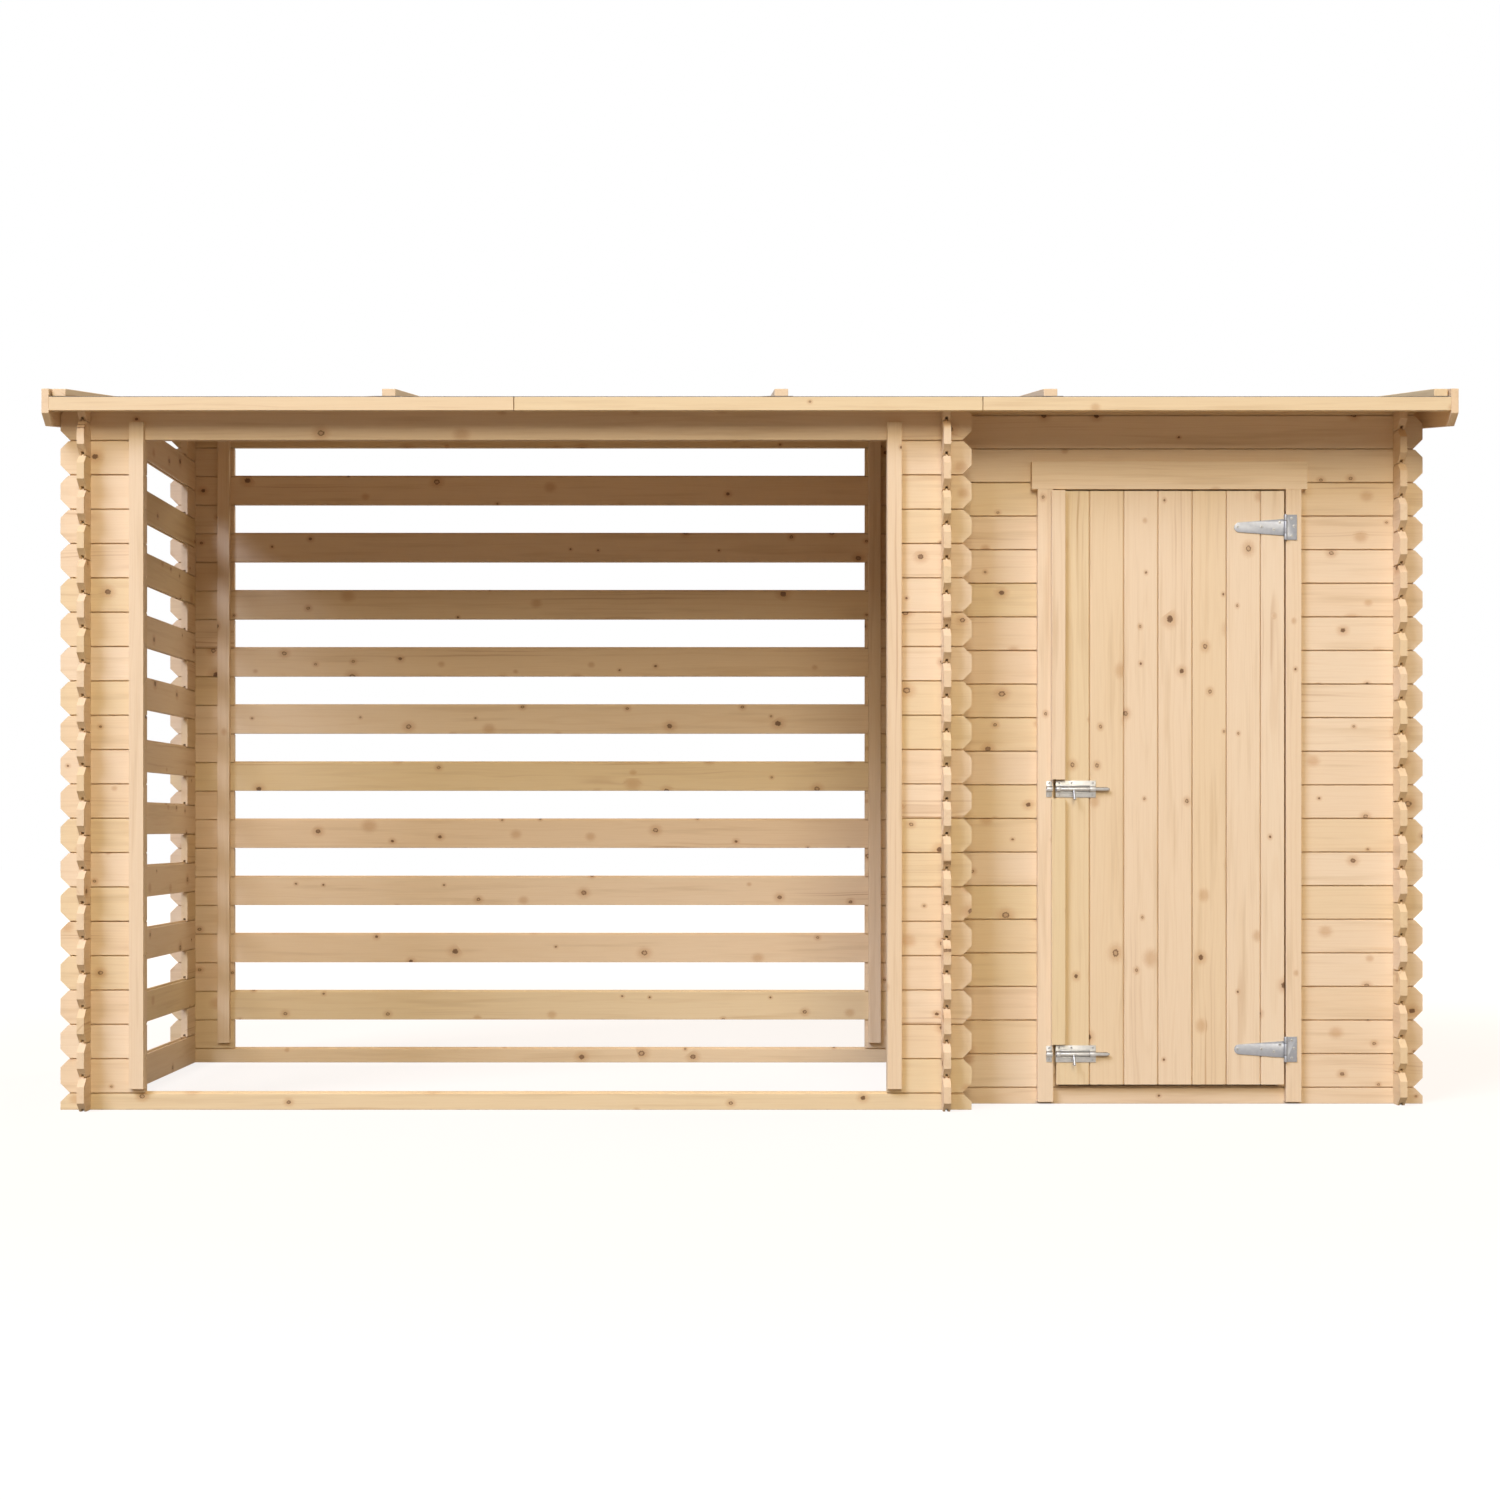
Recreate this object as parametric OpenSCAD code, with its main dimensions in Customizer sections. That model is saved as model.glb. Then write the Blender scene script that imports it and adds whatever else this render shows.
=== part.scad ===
// Garden log store: an open, slatted bay for firewood with a closed tool shed beside it,
// both of interlocking planed boards under one pent roof that rises towards the back.
// Front is -Y, up is +Z, and the origin is on the ground in the middle of the outer box.

/* [Boards] */
// Height of one wall board, which is one course
course = 90; // [60:1:140]
// Thickness of the wall boards
board_t = 19; // [16:1:28]
// Length of a board's end past the wall that it crosses
tip = 60; // [45:1:90]
// Size of the slanted cut on the corners of a board's end
tip_cut = 24; // [10:1:28]

/* [Building] */
// Clear width of the open bay
bay_w = 2229; // [1400:1:3000]
// Clear width of the shed
shed_w = 1204; // [1100:1:1600]
// Depth of the open bay over its front and back walls
depth = 1146; // [1000:1:1400]
// Distance by which the shed's front and back walls stand in from the bay's
shed_inset = 125; // [80:1:160]
// Number of whole courses in the front wall, above the half board on the ground
front_courses = 20; // [20:1:20]
// Number of courses by which the back wall is higher
rise_courses = 2; // [2:1:2]

/* [Bay details] */
// Width of the closed strips on both sides of the bay's front opening
bay_stub = 143; // [100:1:200]
// Length of the short boards inside the slatted back wall's corners
back_stub = 122; // [80:1:180]
// Length of the short boards inside the slatted side wall's corners
side_stub = 102; // [80:1:160]
// Width of the upright battens
batten_w = 38; // [30:1:50]
// Thickness of the upright battens and of the roof's boards and battens
batten_t = 19; // [16:1:24]
// Height of the lower end of the front battens
front_batten_z = 56; // [40:1:80]
// Height of the lower end of the inner battens
inner_batten_z = 63; // [40:1:80]
// Distance from the end of the short boards to the inner battens
inner_batten_gap = 11; // [5:1:20]

/* [Door] */
// Distance from the divider to the doorway between the door posts
door_from_divider = 290; // [270:1:330]
// Width between the door posts
doorway_w = 621; // [590:1:640]
// Height of the upper edge of the door leaf
door_top = 1637; // [1600:1:1650]
// Height of the lower edge of the door leaf
door_bottom = 54; // [50:1:80]
// Gap between the door leaf and the frame around it
door_gap = 5; // [5:1:8]
// Width of the door posts
post_w = 41; // [35:1:50]
// Height of the board over the door
header_h = 74; // [60:1:90]
// Length of the board over the door past each post
header_ear = 16; // [5:1:25]
// Width by which the wall laps the door leaf behind it
door_lap = 12; // [8:1:16]
// Width of the strip on the door's free edge
strip_w = 36; // [30:1:45]
// Thickness of that strip
strip_t = 16; // [12:1:20]
// Length of that strip past the leaf, over the post
strip_lap = 11; // [8:1:14]
// Height of the ledges across the back of the door
ledge_h = 90; // [70:1:100]

/* [Hinges] */
// Length of the strap on the door
strap_len = 136; // [110:1:180]
// Height of the strap at the pin
strap_h = 44; // [36:1:50]
// Height of the strap near its round end
strap_tip_h = 26; // [20:1:32]
// Thickness of the hinge's sheet steel
steel_t = 2.5; // [2:0.5:3]
// Height of the cross plate on the post
cross_h = 67; // [60:1:80]
// Width of the cross plate
cross_w = 26; // [24:1:32]
// Radius of the hinge's rolled barrel
barrel_r = 4.5; // [4:0.5:5]
// Diameter of the hinge pin
pin_d = 4; // [3:0.5:4.5]
// Height of the lower hinge
hinge_low_z = 148; // [120:1:220]
// Height of the upper hinge
hinge_high_z = 1540; // [1450:1:1570]

/* [Bolts] */
// Height of the lower bolt
bolt_low_z = 136; // [110:1:180]
// Height of the middle bolt
bolt_high_z = 842; // [700:1:950]
// Diameter of the sliding rod
rod_d = 10; // [8:1:12]
// Length of the sliding rod
rod_len = 144; // [130:1:160]
// Travel of the rod from drawn back to shot
rod_travel = 30; // [28:1:36]
// Length of the bolt's plate
plate_len = 107; // [95:1:115]
// Height of the bolt's plate
plate_h = 45; // [40:1:50]
// Width of the keep on the post
keep_w = 15; // [12:1:18]
// Play between the rod and what guides it
rod_play = 0.5; // [0.4:0.1:0.8]

/* [Roof] */
// Distance by which the roof boards run past the bay's front and back walls
eaves = 80; // [70:1:110]
// Height of the fascia boards
fascia_h = 35; // [30:1:60]
// Thickness of the fascia boards
fascia_t = 16; // [12:1:20]
// Height of the barge boards across their slope
barge_h = 95; // [80:1:110]
// Slanted cut on the lower corners of the barge boards
barge_cut = 33; // [10:1:40]
// Thickness of the roofing felt
felt_t = 2; // [1:0.5:3]
// Width of the battens that hold the felt down
roof_batten_w = 35; // [25:1:45]

/* [Hidden] */
$fn = 48;

spruce = "#ebd3b0";
spruce_trim = "#f0dcbc";
felt_grey = "#77777a";
zinc = "#c6c9cc";
steel = "#d9dbdd";

half = course / 2;

// Places of the walls: each value is the wall's face on its low side.
left_x = -(bay_w + shed_w + 3 * board_t) / 2;
divider_x = left_x + board_t + bay_w;
right_x = divider_x + board_t + shed_w;
front_y = -depth / 2;
back_y = depth / 2 - board_t;
shed_front_y = front_y + shed_inset;
shed_back_y = back_y - shed_inset;
shed_face_x = divider_x + board_t;

// The roof's underside rests on the front edge of the front wall and of the back wall.
front_top = half + front_courses * course;
back_top = front_top + rise_courses * course;
slope = (back_top - front_top) / (back_y - front_y);
pitch = atan(slope);
function roof_z(y) = front_top + slope * (y - front_y);

// Places round the door.
doorway_x = shed_face_x + door_from_divider;
leaf_x = doorway_x + door_gap;
leaf_w = doorway_w - 2 * door_gap;
leaf_end = leaf_x + leaf_w;
leaf_h = door_top - door_bottom;
post_t = board_t + door_gap;
face_y = shed_front_y - post_t;
gap_left = leaf_x + door_lap;
gap_right = leaf_end - door_lap;
gap_top = half + floor((door_top - half) / course + 1) * course;
header_z = door_top + door_gap;
pin_x = doorway_x + doorway_w - door_gap / 2;
pin_y = face_y - barrel_r;

// Places of the bolt's parts, from the leaf's free edge.
plate_x = leaf_x + 1;
plate_t = 2;
rod_y = face_y - plate_t - rod_d / 2 - 2;
rod_x = leaf_x;
bolt_pin_x = 18 + rod_travel;
bolt_pin_len = 35;
bolt_pin_d = 6;
bolt_pin_lean = 30;
keep_x = doorway_x - 4 - keep_w;
keep_h = plate_h - 2;

// ---------- outlines of walls made of boards ----------

// Points up one end of a stack of boards. EDGE is the end's place, SIDE is 1 for the low end
// and -1 for the high one, and SEAMS are the heights between the boards.
function scallop(edge, side, seams) = [
    for (i = [0 : len(seams) - 2])
        each (seams[i + 1] - seams[i] < course && i == 0 && seams[0] == 0
            ? [[edge, seams[i]], [edge, seams[i + 1] - tip_cut]]
            : [[edge + side * tip_cut, seams[i]], [edge, seams[i] + tip_cut],
               [edge, seams[i + 1] - tip_cut]]),
    [edge + side * tip_cut, seams[len(seams) - 1]]
];

function straight(edge, seams) = [[edge, seams[0]], [edge, seams[len(seams) - 1]]];

function reversed(list) = [for (i = [len(list) - 1 : -1 : 0]) list[i]];

// One stack of boards in the plane of its wall, with a shaped or a straight end on each side.
module stack(u0, u1, seams, low_tip = true, high_tip = true) {
    low = low_tip ? scallop(u0, 1, seams) : straight(u0, seams);
    high = high_tip ? scallop(u1, -1, seams) : straight(u1, seams);
    polygon(concat(low, reversed(high)));
}

// Stands a plane outline up as a wall along X, with its front face at y.
module along_x(y, t = board_t) {
    translate([0, y + t, 0]) rotate([90, 0, 0]) linear_extrude(t) children();
}

// Stands a plane outline up as a wall along Y, with its low face at x.
module along_y(x, t = board_t) {
    translate([x, 0, 0]) rotate([90, 0, 90]) linear_extrude(t) children();
}

// Heights between the boards of the walls along X (a half board lies on the ground) ...
function x_seams(from, to) = [for (i = [from : to]) half + i * course];
// ... and of the walls along Y, where a whole board does.
function y_seams(from, to) = [for (i = [from : to]) i * course];

// Notches where a wall along X lets the wall with low face at x pass through it.
module x_notches(x, from, to) {
    for (i = [from : to])
        translate([x, half + i * course - half / 2]) square([board_t, half]);
}

// Notches where a wall along Y lets the wall with front face at y pass through it.
module y_notches(y, from, to) {
    for (i = [from : to])
        translate([y, i * course - half / 2]) square([board_t, half]);
}

// The area under the roof, in the plane of a wall along Y.
module under_roof() {
    y0 = -depth;
    polygon([[y0, 0], [-y0, 0], [-y0, roof_z(-y0)], [y0, roof_z(y0)]]);
}

// ---------- front of the open bay ----------

bay_low = left_x - tip;
bay_high = divider_x + board_t + tip;

module bay_front_boards(u0, u1, seams, low_tip, high_tip) {
    color(spruce) along_x(front_y) difference() {
        stack(u0, u1, seams, low_tip, high_tip);
        x_notches(left_x, 0, front_courses);
        x_notches(divider_x, 0, front_courses);
    }
}

module open_front_sill() bay_front_boards(bay_low, bay_high, [0, half], true, true);

module open_front_left_stub()
    bay_front_boards(bay_low, left_x + board_t + bay_stub,
                     x_seams(0, front_courses - 1), true, false);

module open_front_right_stub()
    bay_front_boards(divider_x - bay_stub, bay_high,
                     x_seams(0, front_courses - 1), false, true);

module open_front_lintel()
    bay_front_boards(bay_low, bay_high, x_seams(front_courses - 1, front_courses), true, true);

module front_post(x) {
    top = front_top - half;
    color(spruce_trim) translate([x, front_y - batten_t, front_batten_z])
        cube([batten_w, batten_t, top - front_batten_z]);
}

module open_front_left_post() front_post(left_x + board_t + bay_stub - batten_w);
module open_front_right_post() front_post(divider_x - bay_stub);

// ---------- slatted side of the open bay ----------

side_low = front_y - tip;
side_high = back_y + board_t + tip;
top_course = ceil(roof_z(side_high) / course);

module side_boards(u0, u1, low_tip, high_tip, first, last) {
    color(spruce) along_y(left_x) difference() {
        intersection() {
            for (i = [first : 2 : last])
                stack(u0, u1, y_seams(i, i + 1), low_tip, high_tip);
            under_roof();
        }
        y_notches(front_y, 0, top_course);
        y_notches(back_y, 0, top_course);
    }
}

module open_side_slats() side_boards(side_low, side_high, true, true, 0, top_course - 1);

module open_side_front_stubs()
    side_boards(side_low, front_y + board_t + side_stub, true, false, 1, front_courses - 1);

module open_side_back_stubs()
    side_boards(back_y - side_stub, side_high, false, true, 1, front_courses + rise_courses - 1);

// ---------- slatted back of the open bay ----------

back_courses = front_courses + rise_courses;

module back_boards(u0, u1, low_tip, high_tip, first) {
    color(spruce) along_x(back_y) difference() {
        union() {
            for (i = [first : 2 : back_courses - 1])
                stack(u0, u1, x_seams(i, i + 1), low_tip, high_tip);
            if (first == 1) stack(u0, u1, [0, half], low_tip, high_tip);
        }
        x_notches(left_x, 0, back_courses);
        x_notches(divider_x, 0, back_courses);
    }
}

back_stub_left_end = left_x + board_t + back_stub;
back_stub_right_end = divider_x - back_stub;

module open_back_slats() back_boards(bay_low, bay_high, true, true, 1);
module open_back_left_stubs() back_boards(bay_low, back_stub_left_end, true, false, 0);
module open_back_right_stubs() back_boards(back_stub_right_end, bay_high, false, true, 0);

module inner_batten(x) {
    top = roof_z(back_y - batten_t);
    color(spruce_trim) translate([x, back_y - batten_t, inner_batten_z])
        cube([batten_w, batten_t, top - inner_batten_z]);
}

module open_back_left_batten()
    inner_batten(back_stub_left_end - inner_batten_gap - batten_w);
module open_back_right_batten() inner_batten(back_stub_right_end + inner_batten_gap);

// ---------- divider and walls of the shed ----------

module gable_wall(x, u0, u1, crossings) {
    color(spruce) along_y(x) difference() {
        intersection() {
            stack(u0, u1, y_seams(0, top_course));
            under_roof();
        }
        for (y = crossings) y_notches(y, 0, top_course);
    }
}

module divider_wall()
    gable_wall(divider_x, side_low, side_high, [front_y, shed_front_y, shed_back_y, back_y]);

module shed_right_wall()
    gable_wall(right_x, shed_front_y - tip, shed_back_y + board_t + tip,
               [shed_front_y, shed_back_y]);

shed_low = divider_x - tip;
shed_high = right_x + board_t + tip;

// Boards of a shed wall along X. They're cut off level at TOP, where the roof lies on them.
module shed_boards(y, u0, u1, seams, low_tip, high_tip, top) {
    color(spruce) along_x(y) difference() {
        intersection() {
            stack(u0, u1, seams, low_tip, high_tip);
            translate([u0, 0]) square([u1 - u0, top]);
        }
        x_notches(divider_x, 0, back_courses);
        x_notches(right_x, 0, back_courses);
    }
}

door_courses = round((gap_top - half) / course);

module shed_back_wall()
    shed_boards(shed_back_y, shed_low, shed_high, concat([0], x_seams(0, back_courses)),
                true, true, roof_z(shed_back_y));

module shed_front_sill()
    shed_boards(shed_front_y, shed_low, shed_high, [0, half], true, true, half);

module shed_front_left()
    shed_boards(shed_front_y, shed_low, gap_left, x_seams(0, door_courses),
                true, false, gap_top);

module shed_front_right()
    shed_boards(shed_front_y, gap_right, shed_high, x_seams(0, door_courses),
                false, true, gap_top);

module shed_front_top()
    shed_boards(shed_front_y, shed_low, shed_high, x_seams(door_courses, front_courses + 1),
                true, true, roof_z(shed_front_y));

// ---------- door frame ----------

post_z = 7;

module door_post(x) {
    color(spruce_trim) translate([x, face_y, post_z]) cube([post_w, post_t, header_z - post_z]);
}

module door_left_post() door_post(doorway_x - post_w);
module door_right_post() door_post(doorway_x + doorway_w);

module door_header() {
    color(spruce_trim) translate([doorway_x - post_w - header_ear, face_y, header_z])
        cube([doorway_w + 2 * (post_w + header_ear), post_t, header_h]);
}

// ---------- door ----------

ledge_low_z = 175;
ledge_high_z = 1425;
ledge_x = gap_left + door_lap;
ledge_w = gap_right - gap_left - 2 * door_lap;

module door_leaf() {
    color(spruce) translate([leaf_x, face_y, door_bottom]) cube([leaf_w, board_t, leaf_h]);
}

module ledge(z) {
    color(spruce_trim) translate([ledge_x, face_y + board_t, z]) cube([ledge_w, board_t, ledge_h]);
}

module door_upper_ledge() ledge(ledge_high_z);
module door_lower_ledge() ledge(ledge_low_z);

// The brace runs up from the hinge side at the lower ledge, so it carries in compression.
module door_brace() {
    foot = ledge_low_z + ledge_h;
    head = ledge_high_z;
    w = ledge_h * 1.1;
    color(spruce_trim) along_x(face_y + board_t)
        polygon([[ledge_x + ledge_w, foot], [ledge_x + ledge_w, foot + w],
                 [ledge_x + w, head], [ledge_x, head], [ledge_x, head - w],
                 [ledge_x + ledge_w - w, foot]]);
}

// The strip is rebated behind its lap, so it clears the post. It stops at the middle bolt.
module door_edge_strip() {
    bolt_room = plate_h / 2 + 2.5;
    x0 = leaf_x - strip_lap;
    profile = [[x0, face_y - strip_t], [x0 + strip_w, face_y - strip_t], [x0 + strip_w, face_y],
               [leaf_x, face_y], [leaf_x, face_y - door_gap], [x0, face_y - door_gap]];
    spans = [[bolt_low_z + bolt_room, bolt_high_z - bolt_room],
             [bolt_high_z + bolt_room, door_top]];
    color(spruce_trim) for (span = spans)
        translate([0, 0, span[0]]) linear_extrude(span[1] - span[0]) polygon(profile);
}

// ---------- hinges ----------

knuckle_gap = 1;
knuckle_h = strap_h - 12;
barrel_play = 0.5;
pin_play = 0.4;

module barrel(z0, z1) {
    translate([pin_x, pin_y, z0]) cylinder(r = barrel_r, h = z1 - z0);
}

// Cross plate on the post, with an outer knuckle above and below and the pin between them.
module hinge_plate(z) {
    low = z - cross_h / 2;
    high = z + cross_h / 2;
    edge = barrel_r + barrel_play;
    ends = [[low, z - knuckle_h / 2 - knuckle_gap], [z + knuckle_h / 2 + knuckle_gap, high]];
    color(zinc) {
        translate([pin_x + edge, face_y - steel_t, low]) cube([cross_w, steel_t, cross_h]);
        for (end = ends) {
            barrel(end[0], end[1]);
            translate([pin_x, face_y - steel_t, end[0]]) cube([edge, steel_t, end[1] - end[0]]);
        }
        translate([pin_x, pin_y, low]) cylinder(d = pin_d, h = cross_h);
    }
}

// Strap on the door leaf: it narrows from the pin to its round end.
module hinge_strap(z) {
    end_r = strap_tip_h / 2;
    end_x = pin_x - strap_len + end_r;
    root_x = pin_x - door_gap / 2 - 2;
    color(zinc) difference() {
        union() {
            along_x(face_y - steel_t, steel_t) union() {
                polygon([[root_x, z - strap_h / 2], [root_x, z + strap_h / 2],
                         [end_x, z + end_r], [end_x, z - end_r]]);
                translate([end_x, z]) circle(r = end_r);
            }
            translate([root_x - 1, face_y - steel_t, z - knuckle_h / 2])
                cube([pin_x - root_x + 1, steel_t, knuckle_h]);
            barrel(z - knuckle_h / 2, z + knuckle_h / 2);
        }
        translate([pin_x, pin_y, z - cross_h])
            cylinder(d = pin_d + 2 * pin_play, h = 2 * cross_h);
    }
}

module upper_hinge_plate() hinge_plate(hinge_high_z);
module upper_hinge_strap() hinge_strap(hinge_high_z);
module lower_hinge_plate() hinge_plate(hinge_low_z);
module lower_hinge_strap() hinge_strap(hinge_low_z);

// ---------- bolts ----------

guide_r = rod_d / 2 + 3;

// A block with a round top that the rod slides through, on a plate whose front face is at y.
module guide(x, w, z, y) {
    difference() {
        union() {
            translate([x, rod_y, z]) rotate([0, 90, 0]) cylinder(r = guide_r, h = w);
            translate([x, rod_y, z - guide_r]) cube([w, y - rod_y, 2 * guide_r]);
        }
        translate([x - 1, rod_y, z]) rotate([0, 90, 0])
            cylinder(d = rod_d + 2 * rod_play, h = w + 2);
    }
}

// Plate on the door with a guide near each end; the pin that moves the rod is between them.
module bolt_plate(z) {
    guides = [[1, 10], [plate_len - 17, 15]];
    color(steel) {
        translate([plate_x, face_y - plate_t, z - plate_h / 2]) cube([plate_len, plate_t, plate_h]);
        for (g = guides) guide(plate_x + g[0], g[1], z, face_y - plate_t);
    }
}

// Rod, drawn back, with the pin that hangs from it and leans forward past the edge strip.
module bolt_rod(z) {
    chamfer = 2;
    color(steel) {
        translate([rod_x, rod_y, z]) rotate([0, 90, 0]) {
            cylinder(d1 = rod_d - 2 * chamfer, d2 = rod_d, h = chamfer);
            translate([0, 0, chamfer]) cylinder(d = rod_d, h = rod_len - chamfer);
        }
        translate([rod_x + bolt_pin_x, rod_y, z]) rotate([180 - bolt_pin_lean, 0, 0])
            cylinder(d = bolt_pin_d, h = bolt_pin_len);
    }
}

// Keep on the post: a foot plate and a loop that the shot rod enters.
module bolt_keep(z) {
    color(steel) {
        translate([keep_x, face_y - plate_t, z - keep_h / 2]) cube([keep_w, plate_t, keep_h]);
        guide(keep_x, keep_w, z, face_y - plate_t);
    }
}

module upper_bolt_plate() bolt_plate(bolt_high_z);
module upper_bolt_rod() bolt_rod(bolt_high_z);
module upper_bolt_keep() bolt_keep(bolt_high_z);
module lower_bolt_plate() bolt_plate(bolt_low_z);
module lower_bolt_rod() bolt_rod(bolt_low_z);
module lower_bolt_keep() bolt_keep(bolt_low_z);

// ---------- roof ----------

roof_low_y = front_y - eaves;
roof_high_y = back_y + board_t + eaves;
barge_gap = 1;
barge_x = bay_low - barge_gap;
across = batten_t / cos(pitch);
felt_top = across + felt_t / cos(pitch);

// A sloping outline between two heights above the roof's underside.
function slice(y0, y1, low, high) = [
    [y0, roof_z(y0) + low], [y1, roof_z(y1) + low],
    [y1, roof_z(y1) + high], [y0, roof_z(y0) + high]
];

module roof_deck() {
    color(spruce) along_y(barge_x, -2 * barge_x)
        polygon(slice(roof_low_y, roof_high_y, 0, across));
}

// The felt also covers the upper edges of both fascias.
module roof_felt() {
    color(felt_grey) along_y(barge_x, -2 * barge_x)
        polygon(slice(roof_low_y - fascia_t, roof_high_y + fascia_t, across, felt_top));
}

module roof_battens() {
    inset = 4;
    first = barge_x + inset;
    last = -barge_x - inset - roof_batten_w;
    over_shed = shed_face_x + 237;
    xs = [first, left_x + bay_w * 0.3565, left_x + bay_w * 0.8115, over_shed, last];
    color(spruce_trim) for (x = xs)
        along_y(x, roof_batten_w)
            polygon(slice(roof_low_y, roof_high_y, felt_top, felt_top + across));
}

// Fascia in three lengths, with its front face at y and its upper edge under the felt.
module fascia(y) {
    top = roof_z(y) + across;
    joint_gap = 2;
    ends = [barge_x, left_x + bay_w * 0.51, divider_x + 97, -barge_x];
    color(spruce_trim) for (i = [0 : 2]) {
        from = ends[i] + (i > 0 ? joint_gap / 2 : 0);
        to = ends[i + 1] - (i < 2 ? joint_gap / 2 : 0);
        translate([from, y, top - fascia_h]) cube([to - from, fascia_t, fascia_h]);
    }
}

module front_fascia() fascia(roof_low_y - fascia_t);
module back_fascia() fascia(roof_high_y);

module barge(x) {
    y0 = roof_low_y - fascia_t;
    y1 = roof_high_y + fascia_t;
    high = felt_top + across;
    low = high - barge_h / cos(pitch);
    color(spruce_trim) along_y(x)
        polygon([[y0 + barge_cut, roof_z(y0 + barge_cut) + low],
                 [y1 - barge_cut, roof_z(y1 - barge_cut) + low],
                 [y1, roof_z(y1) + low + barge_cut],
                 [y1, roof_z(y1) + high], [y0, roof_z(y0) + high],
                 [y0, roof_z(y0) + low + barge_cut]]);
}

module left_barge() barge(barge_x - board_t);
module right_barge() barge(-barge_x);

open_front_sill();
open_front_left_stub();
open_front_right_stub();
open_front_lintel();
open_front_left_post();
open_front_right_post();
open_side_slats();
open_side_front_stubs();
open_side_back_stubs();
open_back_slats();
open_back_left_stubs();
open_back_right_stubs();
open_back_left_batten();
open_back_right_batten();
divider_wall();
shed_right_wall();
shed_back_wall();
shed_front_sill();
shed_front_left();
shed_front_right();
shed_front_top();
door_left_post();
door_right_post();
door_header();
door_leaf();
door_upper_ledge();
door_lower_ledge();
door_brace();
door_edge_strip();
upper_hinge_plate();
upper_hinge_strap();
lower_hinge_plate();
lower_hinge_strap();
upper_bolt_plate();
upper_bolt_rod();
upper_bolt_keep();
lower_bolt_plate();
lower_bolt_rod();
lower_bolt_keep();
roof_deck();
roof_felt();
roof_battens();
front_fascia();
back_fascia();
left_barge();
right_barge();
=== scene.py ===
"""Looks of a garden log store: an open, slatted bay for firewood beside a closed tool shed.

The building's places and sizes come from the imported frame. Only what the frame leaves out, such
as tongues, laps and screws, has sizes of its own. The walls are built up from their milled
boards, the door gets its boards, hinges and bolts, and the roof its deck, felt and trim.
"""
import logging
import math
import random
from collections.abc import Callable, Iterable, Iterator, Sequence
from contextlib import contextmanager
from dataclasses import dataclass
from enum import Enum
from functools import partial

import bpy
import numpy as np
from mathutils import Matrix, Vector


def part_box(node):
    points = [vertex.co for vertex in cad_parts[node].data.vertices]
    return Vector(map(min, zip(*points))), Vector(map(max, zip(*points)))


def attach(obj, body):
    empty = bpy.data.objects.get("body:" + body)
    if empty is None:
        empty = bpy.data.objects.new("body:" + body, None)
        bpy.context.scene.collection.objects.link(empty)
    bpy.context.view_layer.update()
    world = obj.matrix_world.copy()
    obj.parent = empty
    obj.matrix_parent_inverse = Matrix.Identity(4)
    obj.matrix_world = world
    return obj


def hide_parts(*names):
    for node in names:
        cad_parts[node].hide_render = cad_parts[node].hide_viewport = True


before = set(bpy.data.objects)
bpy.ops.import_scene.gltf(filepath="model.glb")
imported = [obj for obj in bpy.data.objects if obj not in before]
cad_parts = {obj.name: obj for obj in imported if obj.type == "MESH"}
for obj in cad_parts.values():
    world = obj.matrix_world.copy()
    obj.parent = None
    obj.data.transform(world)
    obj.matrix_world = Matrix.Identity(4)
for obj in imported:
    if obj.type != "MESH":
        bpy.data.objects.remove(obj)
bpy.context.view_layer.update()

MM = 0.001
HAIR = 0.1 * MM
FLAT = math.radians(0.5)
SEED = 41
log = logging.getLogger("log_store")
Piece = bpy.types.Object
Test = Callable[[Vector, Vector], bool]


class Pick(Enum):
    """What edit mode selects."""

    VERTS = "vertices"
    EDGES = "edges"
    FACES = "polygons"


class Body(Enum):
    """The bodies of the frame that pieces ride on."""

    BUILDING = "building"
    DOOR = "door"
    UPPER_BOLT = "upper_bolt"
    LOWER_BOLT = "lower_bolt"


class Slot(Enum):
    """Names of the material slots."""

    BOARDS = "spruce_boards"
    TRIM = "spruce_trim"
    FELT = "roofing_felt"
    ZINC = "zinc_plated_steel"
    BRIGHT = "bright_steel"


# ---------- modelling ----------


def select_only(*pieces: Piece) -> None:
    """Selects these pieces and nothing else, and makes the first one active."""
    bpy.ops.object.select_all(action="DESELECT")
    for piece in pieces:
        piece.select_set(True)
    bpy.context.view_layer.objects.active = pieces[0]


def mark(mesh: bpy.types.Mesh, pick: Pick, where: Test | None) -> None:
    """Sets a mesh's selection for the next time that it is edited.

    Args:
        mesh: The mesh, in object mode.
        pick: What is selected.
        where: Says of a part's centre and its normal, or an edge's direction, whether it is
            selected. Without it everything is.
    """
    everything = where is None
    for parts in (mesh.vertices, mesh.edges, mesh.polygons):
        parts.foreach_set("select", [everything] * len(parts))
    if everything:
        return
    points = mesh.vertices
    if pick is Pick.FACES:
        for face in mesh.polygons:
            face.select = where(face.center, face.normal)
    elif pick is Pick.VERTS:
        for point in points:
            point.select = where(point.co, point.normal)
    else:
        for edge in mesh.edges:
            low, high = (points[i] for i in edge.vertices)
            if where((low.co + high.co) / 2, (high.co - low.co).normalized()):
                edge.select = low.select = high.select = True


@contextmanager
def editing(piece: Piece, pick: Pick = Pick.FACES, where: Test | None = None) -> Iterator[None]:
    """Edit mode on one piece, with what passes a test selected.

    Args:
        piece: The piece to edit.
        pick: What is selected.
        where: The test that mark() takes.
    """
    select_only(piece)
    bpy.context.tool_settings.mesh_select_mode = [pick is kind for kind in Pick]
    mark(piece.data, pick, where)
    bpy.ops.object.mode_set(mode="EDIT")
    yield
    bpy.ops.object.mode_set(mode="OBJECT")


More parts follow.
